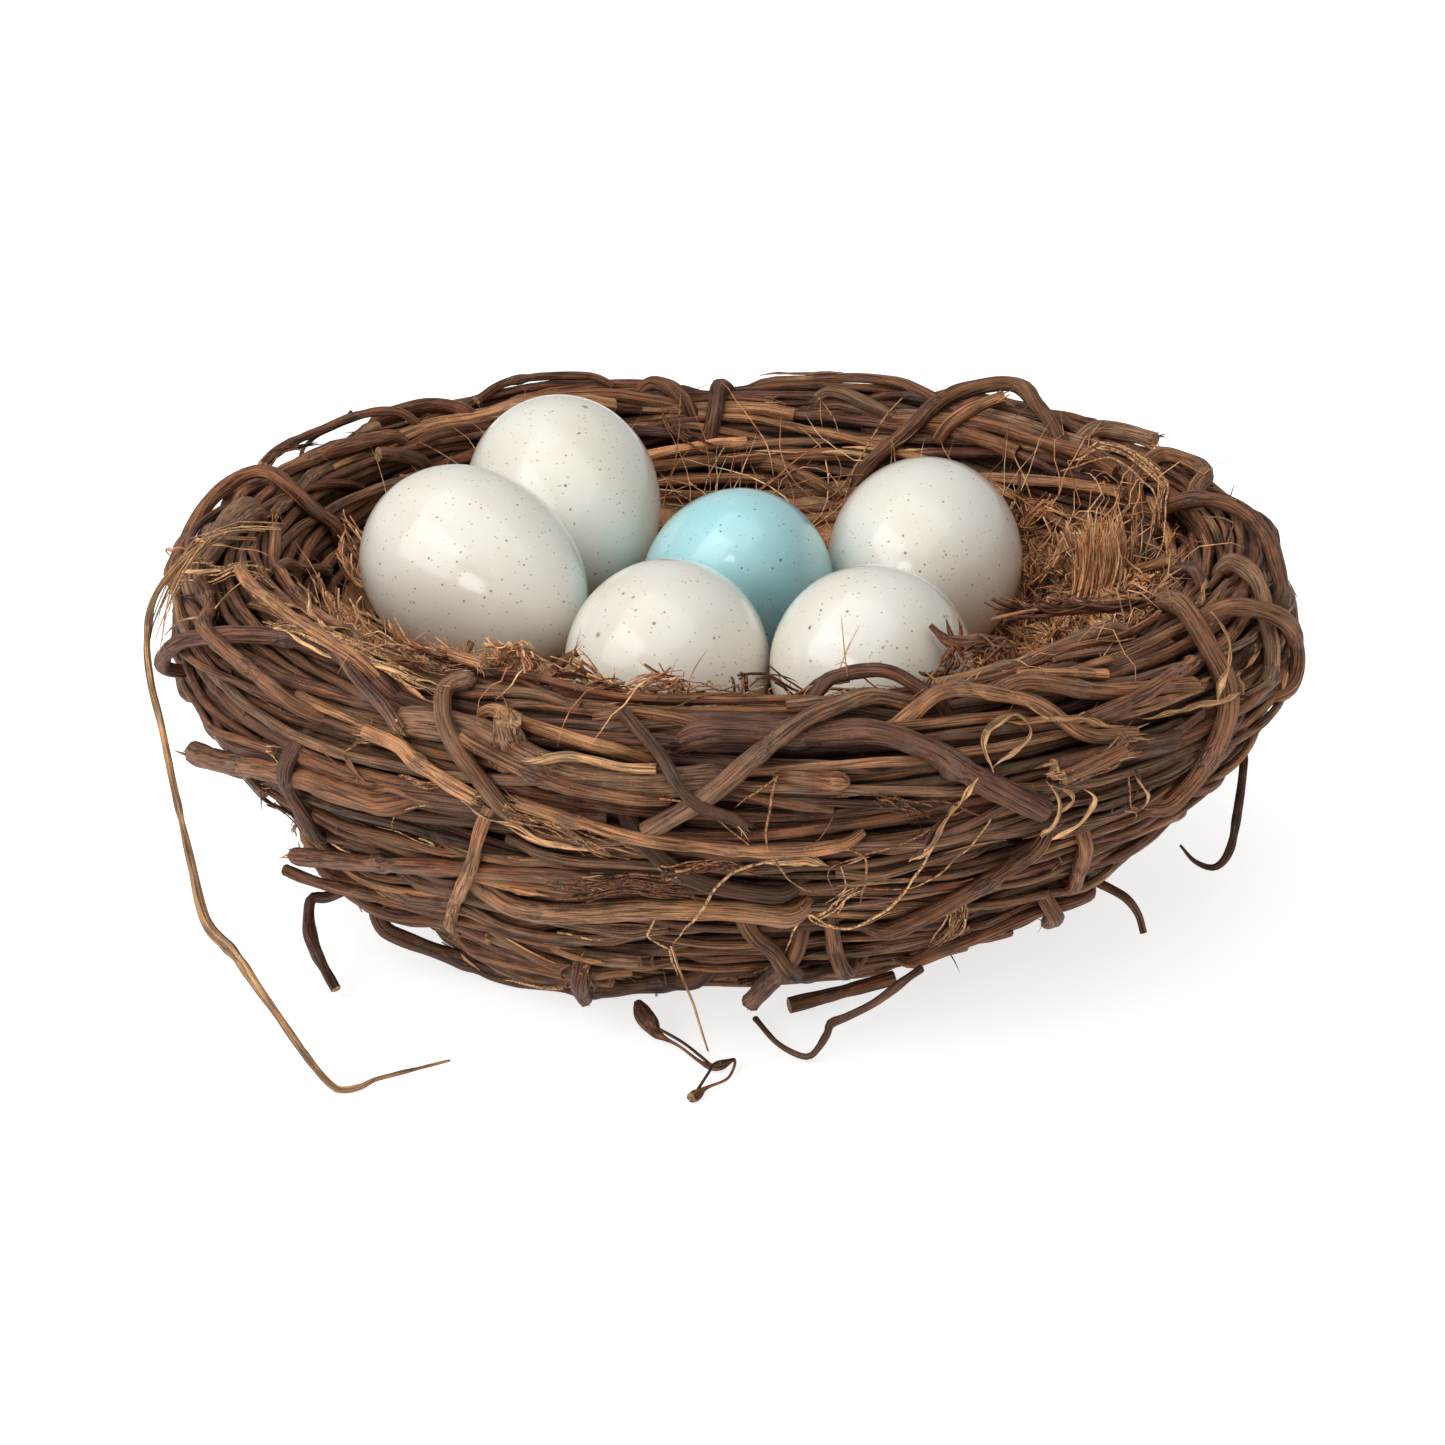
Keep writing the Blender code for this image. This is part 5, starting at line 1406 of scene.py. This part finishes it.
# Small vines that leave the wall: bark, sides, ends, and places with the radius there
BITS = {
    "rim stub": ("red", 9, "tucked torn", [
        (-0.0385, -0.087, 0.077, 0.0013), (-0.036, -0.086, 0.0799, 0.0013),
        (-0.0335, -0.0845, 0.0818, 0.0012), (-0.031, -0.0838, 0.0832, 0.001)]),
    "rim disc": ("dark", 12, "tucked cut", [
        (-0.0375, -0.085, 0.076, 0.0021), (-0.0374, -0.0858, 0.0785, 0.0021),
        (-0.0372, -0.0865, 0.0805, 0.0022)]),
    "rim curl": ("grey", 9, "cut cut", [
        (-0.052, -0.088, 0.078, 0.0008), (-0.0527, -0.088, 0.0815, 0.0008),
        (-0.0529, -0.088, 0.0842, 0.0007), (-0.0522, -0.086, 0.086, 0.0009)]),
    "scrap": ("red", 9, "tucked cut", [
        (0.0568, -0.0735, 0.07, 0.0012), (0.0564, -0.0715, 0.0762, 0.0014),
        (0.0546, -0.069, 0.0797, 0.0015), (0.0508, -0.068, 0.0798, 0.0018),
        (0.0469, -0.067, 0.0792, 0.0019), (0.0435, -0.0665, 0.0795, 0.0014),
        (0.0415, -0.0662, 0.081, 0.0008), (0.0398, -0.0657, 0.0826, 0.0006)]),
    "hanging straw": ("straw", 5, "cut cut", [
        (-0.0124, -0.104, 0.0285, 0.0003), (-0.0107, -0.1045, 0.0231, 0.0003),
        (-0.0081, -0.1045, 0.0163, 0.0003), (-0.0065, -0.103, 0.0098, 0.0003),
        (-0.0051, -0.1015, 0.0045, 0.0002)]),
    "pod thread": ("dark", 5, "cut cut", [
        (-0.0152, -0.088, 0.0034, 0.0003), (-0.0102, -0.0932, 0.0026, 0.0003),
        (-0.0066, -0.0986, 0.002, 0.0003), (-0.0043, -0.102, 0.0014, 0.0003)]),
    "pod loop": ("dark", 5, "cut cut", [
        (0.0002, -0.0986, 0.0014, 0.0003), (-0.0036, -0.104, 0.003, 0.0003),
        (-0.0052, -0.109, 0.0028, 0.0003), (-0.008, -0.1165, 0.0014, 0.0003)]),
    "knot": ("grey", 14, "tucked torn", [
        (-0.0439, -0.107, 0.0705, 0.0046), (-0.0439, -0.1102, 0.0748, 0.0036),
        (-0.044, -0.1122, 0.078, 0.0027), (-0.0437, -0.113, 0.08, 0.0028)]),
}
WAD_REACH = (0.005, 0.012)
WAD_WIDTH = (0.0012, 0.0032)
WAD_RISE = 0.0015
WAD_RING = 0.085  # the radius of the hollow where they lie
SCRAP_HEAD = (0.0452, -0.0668, 0.0792)
SCRAP_SPLINTERS = (  # direction, length and radius
    ((-0.35, 0, 1), 0.0046, 0.0009), ((0.05, 0, 1), 0.0036, 0.0008), ((-0.8, 0, 0.1), 0.005, 0.0011),
    ((-0.75, 0, -0.7), 0.0062, 0.0013), ((-0.4, 0, -0.95), 0.0056, 0.0012),
    ((0.3, 0, -0.9), 0.004, 0.0009),
)
# Ragged bundles in the air: way out, fibres, width, rise, barks, radii, shares of the run, and places
BUNDLES = (
    ((-0.5, -0.2, 0.85), 46, 0.0042, 0.0022, "red tan brown red", (0.0002, 0.00052), (0.25, 0.7), [
        (0.052, -0.059, 0.08), (0.0585, -0.0545, 0.0798), (0.0652, -0.05, 0.0788),
        (0.0757, -0.042, 0.077), (0.0856, -0.035, 0.0758), (0.093, -0.028, 0.0765)]),
    ((-0.5, -0.6, 0.6), 15, 0.003, 0.0012, "straw pale straw tan", (0.0001, 0.00022), (0.3, 0.75), [
        (-0.096, -0.013, 0.0835), (-0.105, -0.018, 0.0862), (-0.1115, -0.026, 0.085),
        (-0.1165, -0.034, 0.08), (-0.119, -0.04, 0.073), (-0.119, -0.044, 0.067)]),
    ((-0.3, -0.9, 0.3), 20, 0.0034, 0.0014, "red brown tan", (0.0002, 0.00045), (0.25, 0.6), [
        (0.056, -0.0715, 0.078), (0.053, -0.07, 0.079), (0.049, -0.069, 0.0785),
        (0.0445, -0.0685, 0.0775)]),
)


def scrap_splinters(stock, rng):
    """Splinters round the torn head of the scrap."""
    for aim, length, radius in SCRAP_SPLINTERS:
        root = np.array(SCRAP_HEAD) + 0.0008 * rng.normal(size=3)
        tone = np.array(BARK["red"]) * rng.uniform(1.1, 2.0)
        splinter(stock, rng, root, unit(np.array(aim)), length, radius, tone)


def clumps(stock, rng, pile, number, angles, stations, strands, barks, radii):
    """Knots and wads of strands that lie about on the lining."""
    tones = bark_fibres(*barks.split()) if barks else coir_tones
    for _ in range(number):
        angle, station = rng.uniform(*angles), rng.uniform(*stations)
        turn, size = rng.uniform(0, math.pi), rng.uniform(*WAD_REACH)
        steps = np.array([-1, -0.3, 0.4, 1])
        route = np.stack([angle + steps * math.degrees(size * math.cos(turn) / WAD_RING),
                          station + steps * size * math.sin(turn) + rng.normal(0, 0.0015, 4),
                          rng.uniform(0.0002, 0.0034, 4)], axis=1)
        places, ways = over_vines(pile, route, SHRED_REST, 0.0008)
        count, width = rng.integers(*strands), rng.uniform(*WAD_WIDTH)
        tangle(stock, rng, places, ways, count, width, WAD_RISE, tones, radii)


TUFT_FOOT = np.array([0.0735, 0.0065, 0.0545])
TUFT_RUN = np.array([0.0072, 0.0030, 0.0255])
TUFT_LOCKS = 17


def build_tuft(stock, rng):
    """The upright tuft: locks of strands side by side, each lock a little its own way."""
    steps = np.linspace(0, 1, 11)[None, :, None]
    for _ in range(TUFT_LOCKS):
        count = rng.integers(12, 24)
        middle = rng.normal(0, 1, 3) * np.array([0.0026, 0.0028, 0.0008])
        spot = middle + rng.normal(0, 0.00055, (count, 1, 3))
        bow = np.array([0.0030, 0.0, 0.0012]) + rng.normal(0, 0.0012, 3)
        length = rng.uniform(0.80, 1.05, (count, 1, 1))
        paths = TUFT_FOOT + spot * (0.70 + 0.50 * steps) + TUFT_RUN * steps * length
        paths = paths + bow * (steps * (1 - steps) * 4)
        waves = rng.uniform(1.5, 3.5, (count, 1, 3)), rng.uniform(0, 6, (count, 1, 3))
        paths = paths + 0.0007 * np.sin(steps * waves[0] + waves[1])
        radii = rng.uniform(0.00018, 0.00032, count)
        fibres(stock, rng, paths, radii, coir_tones(rng, count) * rng.uniform(0.85, 1.3))


# ------------------------------------------------------------------ making

# Layers of wound vines: first and last station, the height to fill up to, the most vines, their
# radii, and for one stretch of the wall its angles and how many degrees a vine runs
LAYERS = (
    (0.062, 0.222, -0.0052, 400, (0.0017, 0.0021, 0.0025)),
    (0.062, 0.222, -0.0034, 400, (0.0014, 0.0018, 0.0022, 0.0025)),
    (0.062, 0.222, -0.0016, 400, (0.0012, 0.0016, 0.002, 0.0024)),
    (0.062, 0.222, 0.0001, 500, (0.001, 0.0013, 0.0016, 0.002, 0.0023)),
    (0.08, 0.11, 0.006, 22, (0.0017, 0.0021), (-68, -10), (26, 54)),
    (0.168, 0.188, 0.0036, 9, (0.0015, 0.002), (116, 172), (22, 46)),
    (0.138, 0.176, 0.0016, 16, (0.0019, 0.0023, 0.0027), (-82, -12), (30, 62)),
    (0.172, 0.186, 0.0034, 7, (0.0014, 0.0018), (188, 226), (22, 38)),
    (0.166, 0.182, 0.0026, 5, (0.0015, 0.0019), (-128, -98), (20, 30)),
    (0.196, 0.212, 0.001, 12, (0.0013, 0.0017), (140, 222), (34, 70)),
)
BASE_LAYER = (0.012, 0.058, -0.001, 60, (0.0018, 0.0024))
CORE_STEPS = 120
CORE_PITCH = 0.0022
CORE_VINE = 0.0045  # the width of a vine of the core
CORE_RIDGE = 0.0011  # and its height
INNER_FROM, RIM_FROM = 0.199, 0.168  # the stations at which the inside and the rim begin
SIDES = ("front", "right", "back", "left")


def build_core(stock):
    """What shows deep between the wound vines: more of them, packed tight."""
    stations = np.arange(0.004, LINING_EDGE + 0.012, CORE_PITCH)[:, None]
    angles = np.linspace(0, 360, CORE_STEPS, endpoint=False)[None, :]
    stations, angles = np.broadcast_arrays(stations, angles)
    turn = np.radians(angles)
    wander = 0.004 * np.sin(2 * turn + stations / 0.05) + 0.003 * np.sin(3 * turn - stations / 0.03)
    ridges = np.cos(math.tau * (stations + wander) / CORE_VINE)
    height = -PILE_DEPTH + CORE_RIDGE * ridges
    places = on_wall(angles, stations, height)[0].reshape(-1, 3)
    # painted shade: the core is made dark as it lies deep in the wall, and darker still in the hollows
    # between its ridges
    tones = np.array(BARK["brown"]) * (0.45 + 0.2 * ridges.reshape(-1, 1))
    grains = np.stack([stations, np.zeros_like(stations), turn * 0.1 * GRAIN_STRETCH], -1).reshape(-1, 3)
    stock.add(places, tones, grains, ring_faces(len(stations), CORE_STEPS))


def zone_of(angle, station):
    """The name of the piece that a wound vine belongs to."""
    if station > INNER_FROM:
        return "wound_inner"
    if station > RIM_FROM:
        return "wound_rim"
    return "wound_outer_" + SIDES[int((angle + 45) % 360 // 90)]


def build_wall(rng, pile):
    """Winds the wall layer by layer and makes its pieces."""
    zones = {name: [] for name in ("wound_outer_front", "wound_outer_left", "wound_outer_back",
                                   "wound_outer_right", "wound_rim", "wound_inner")}
    for layer in LAYERS:
        for row in wind(pile, rng, *layer):
            zones[zone_of(row[0].mean(), row[1].mean())].append(row)
    zones["wound_base"] = wind(pile, rng, *BASE_LAYER)
    for zone, rows in zones.items():
        stock = Stock()
        for row in rows:
            build_wound(stock, rng, *row)
        if zone == "wound_base":
            build_core(stock)
        stock.make(zone, bark, "wound_vines", "woven_wall")


def build_twigs(rng, pile):
    """The twigs, the bits and the scrap's splinters, as one piece."""
    stock = Stock()
    for name in TWIGS:
        build_twig(stock, pile, name)
    for name, (kind, sides, ends, stops) in BITS.items():
        build_loose(stock, name, kind, stops, sides, ends.split())
    scrap_splinters(stock, rng)
    stock.make("twigs", bark, "brown_bark")


def build_strips(rng, pile):
    """The peeled strips, hairs and ragged bundles, as one piece."""
    stock = Stock()
    for build, rows in ((build_strip, STRIPS), (build_hair, HAIRS), (build_shred, SHREDS)):
        for row in rows:
            build(stock, rng, pile, *row)
    stock.make("peeled_strips", bark, "straw")


# Short hairs, flat bits and ragged ones: how many, angles, stations, lengths, widths, how far off the
# vines, and barks
LITTER = (
    (120, (0, 360), (0.085, 0.2), (0.006, 0.026), (0.00022, 0.00044), (0.0001, 0.001),
     ("straw", "tan", "tan", "brown", "red", "dark")),
    (50, (-80, 80), (0.095, 0.19), (0.008, 0.03), (0.00024, 0.0005), (0.0001, 0.0012),
     ("straw", "tan", "pale", "brown")),
    (90, (0, 360), (0.085, 0.195), (0.004, 0.014), (0.0008, 0.0016), (0, 0.0004),
     ("tan", "brown", "red", "pale")),
    (120, (0, 360), (0.08, 0.205), (0.008, 0.024), (0.0006, 0.0018), (0, 0.0004),
     ("red brown", "tan brown", "tan straw", "dark red", "red tan")),
)
FRONT_LITTER = (
    (16, (-38, -25), (0.176, 0.188), (0.004, 0.009), (0.001, 0.0022), (0.0004, 0.002),
     ("dark", "red", "dark", "brown")),
    (14, (-20, -10), (0.181, 0.19), (0.004, 0.008), (0.001, 0.002), (0.0004, 0.002),
     ("dark", "red", "dark")),
)
# Coir fibres: how many, angles, stations, lengths, how far they stand off, how much they cross, radii
MAT_FIBRES = (2100, (0, 360), (0.222, 0.286), (0.018, 0.045), (0.0002, 0.0026), 1.2, (0.0001, 0.00021))
LOOSE_FIBRES = (
    (300, (0, 360), (0.208, 0.232), (0.012, 0.03), (0.0002, 0.0014), 1.2, (0.0001, 0.00021)),
    (420, (52, 132), (0.2, 0.25), (0.012, 0.036), (0.0005, 0.006), 1.2, (0.00014, 0.0003)),
    (420, (-45, 50), (0.186, 0.226), (0.01, 0.03), (0.0003, 0.0025), 0.5, (0.00012, 0.00024)),
    (44, (140, 215), (0.2, 0.226), (0.012, 0.03), (0.0004, 0.0024), 1.3, (0.0001, 0.00021)),
)
# Wads: how many, angles, stations, strands in each, barks (none is coir), and radii
WADS = (
    (44, (56, 132), (0.2, 0.24), (12, 28), "", (0.00012, 0.0003)),
    (40, (56, 132), (0.2, 0.236), (4, 10), "red tan tan brown", (0.0002, 0.00045)),
    (26, (-48, -4), (0.186, 0.206), (8, 20), "", (0.00012, 0.00028)),
    (24, (-112, -52), (0.204, 0.228), (8, 18), "", (0.00012, 0.00026)),
    (15, (-44, 34), (0.186, 0.204), (4, 9), "red brown tan brown", (0.00018, 0.00036)),
)
# Sprigs: how many, angles, stations and lengths
BARK_SPRIGS = (130, (0, 360), (0.080, 0.195), (0.002, 0.006))
COIR_SPRIGS = (
    (110, (-45, 48), (0.18, 0.2), (0.004, 0.01)),
    (80, (50, 135), (0.19, 0.23), (0.005, 0.014)),
    (12, (140, 220), (0.19, 0.215), (0.005, 0.012)),
)


def build_litter(rng, pile):
    """What lies about on the vines, as one piece."""
    stock = Stock()
    for row in LITTER:
        scatter(stock, rng, pile, *row)
    sprigs(stock, rng, pile, bark_fibres("tan", "red", "brown"), *BARK_SPRIGS)
    for row in FRONT_LITTER:
        scatter(stock, rng, pile, *row)
    stock.make("loose_hairs", bark, "tan_bark")


def build_mat(rng, pile):
    """The lining: the felt and the fibres on it."""
    lining = pile.top[:, int(LINING_EDGE / PILE_PITCH) - 6:]
    np.maximum(lining, LINING_TOP, out=lining)  # the rest lies on the felt
    stock = Stock()
    coir_dish(stock, rng)
    wall_fibres(stock, pile, rng, *MAT_FIBRES)
    stock.make("coir_mat", coir, "coir", "lining")


def build_loose_coir(rng, pile):
    """Coir that strays off the lining, and the frayed bundles in the air."""
    stock = Stock()
    for row in LOOSE_FIBRES:
        wall_fibres(stock, pile, rng, *row)
    for row in WADS:
        clumps(stock, rng, pile, *row)
    for row in COIR_SPRIGS:
        sprigs(stock, rng, pile, coir_tones, *row)
    for way, count, width, rise, barks, radii, share, places in BUNDLES:
        tangle(stock, rng, smooth(places, 8), np.array(way), count, width, rise, bark_fibres(*barks.split()),
               radii, share)
    stock.make("coir_loose", coir, "coir")


SEED = 7  # of the layout of the wall and of what lies about on it

bark = bark_finish()
coir = coir_finish()
glazes = {
    "cream_glaze": glaze_finish("cream glaze", (0.765, 0.735, 0.655), (0.715, 0.675, 0.570),
                                (0.220, 0.125, 0.055), (0.43, 0.31, 0.18)),
    "blue_glaze": glaze_finish("blue glaze", (0.37, 0.665, 0.70), (0.30, 0.605, 0.65),
                               (0.09, 0.12, 0.10), (0.20, 0.40, 0.41)),
}
for egg in EGGS:
    slot = "blue_glaze" if egg == "egg_blue" else "cream_glaze"
    build_egg(egg, glazes[slot], slot)

rng = np.random.default_rng(SEED)
pile = Pile()
planned = plan_vines(pile)
build_wall(rng, pile)
for name, (kind, *_) in VINES.items():
    slot = kind + "_bark" if kind in ("dark", "red", "grey", "tan") else "brown_bark"
    build_vine(pile, name, planned).make(name + "_bark", bark, slot, name)
for name, (kind, slot, stops) in LOOSE_ENDS.items():
    stock = Stock()
    build_loose(stock, name, kind, stops)
    stock.make(name + "_bark", bark, slot, name)
build_twigs(rng, pile)
build_strips(rng, pile)
build_litter(rng, pile)
build_mat(rng, pile)
build_loose_coir(rng, pile)
stock = Stock()
build_tuft(stock, rng)
stock.make("fibre_tuft_strands", coir, "coir", "fibre_tuft")

# ------------------------------------------------------------------ stage, light and camera

FLOOR_REACH = 3
FLOOR_GLOW = 0.74  # the backdrop is lit so brightly that it is nearly white
WORLD_LIGHT = 0.47

corners = [(x * FLOOR_REACH, y * FLOOR_REACH, 0) for x, y in ((-1, -1), (1, -1), (1, 1), (-1, 1))]
floor = bpy.data.meshes.new("floor")
floor.from_pydata(corners, [], [(0, 1, 2, 3)])
floor_piece = bpy.data.objects.new("floor", floor)
floor_paint = Finish("floor", Base_Color=(0.55, 0.55, 0.55), Roughness=0.9, Emission_Color=(1, 1, 1),
                     Emission_Strength=FLOOR_GLOW)
floor.materials.append(floor_paint.material)
bpy.context.scene.collection.objects.link(floor_piece)


def softbox(name, place, aim, size, power, shape="RECTANGLE"):
    """An area light of such a width and height at a place, which points at aim."""
    light = bpy.data.lights.new(name, "AREA")
    light.shape = shape
    light.size, light.size_y = size
    light.energy = power
    lamp = bpy.data.objects.new(name, light)
    lamp.location = place
    lamp.rotation_euler = (Vector(aim) - Vector(place)).to_track_quat("-Z", "Y").to_euler()
    bpy.context.scene.collection.objects.link(lamp)


softbox("overhead softbox", (-0.30, -0.35, 1.45), (0, 0, 0.05), (2.2, 1.9), 13.8)
softbox("front left softbox", (-0.62, -1.20, 0.50), (0, 0, 0.06), (0.50, 0.50), 3.1, "ELLIPSE")
softbox("left softbox", (-1.20, -0.55, 0.92), (0, 0, 0.06), (1.3, 1.15), 10.5)

world = bpy.data.worlds.new("studio")
world.use_nodes = True
surroundings = world.node_tree.nodes["Background"].inputs
surroundings["Color"].default_value = (1, 1, 1, 1)
surroundings["Strength"].default_value = WORLD_LIGHT
bpy.context.scene.world = world
bpy.context.scene.view_settings.view_transform = "Standard"

CAMERA_AIM = Vector((-0.0022, 0.0, 0.0370))
CAMERA_TILT = math.radians(20.5)
CAMERA_DISTANCE = 1.10
CAMERA_LENS = 126.06  # mm, on a sensor 36 mm wide
camera = bpy.data.cameras.new("camera")
camera.sensor_width = 36
camera.lens = CAMERA_LENS
camera.clip_start, camera.clip_end = 0.05, 20
shooter = bpy.data.objects.new("camera", camera)
back = Vector((0, -math.cos(CAMERA_TILT), math.sin(CAMERA_TILT)))
shooter.location = CAMERA_AIM + back * CAMERA_DISTANCE
shooter.rotation_euler = (-back).to_track_quat("-Z", "Y").to_euler()
bpy.context.scene.collection.objects.link(shooter)
bpy.context.scene.camera = shooter

bpy.context.view_layer.update()
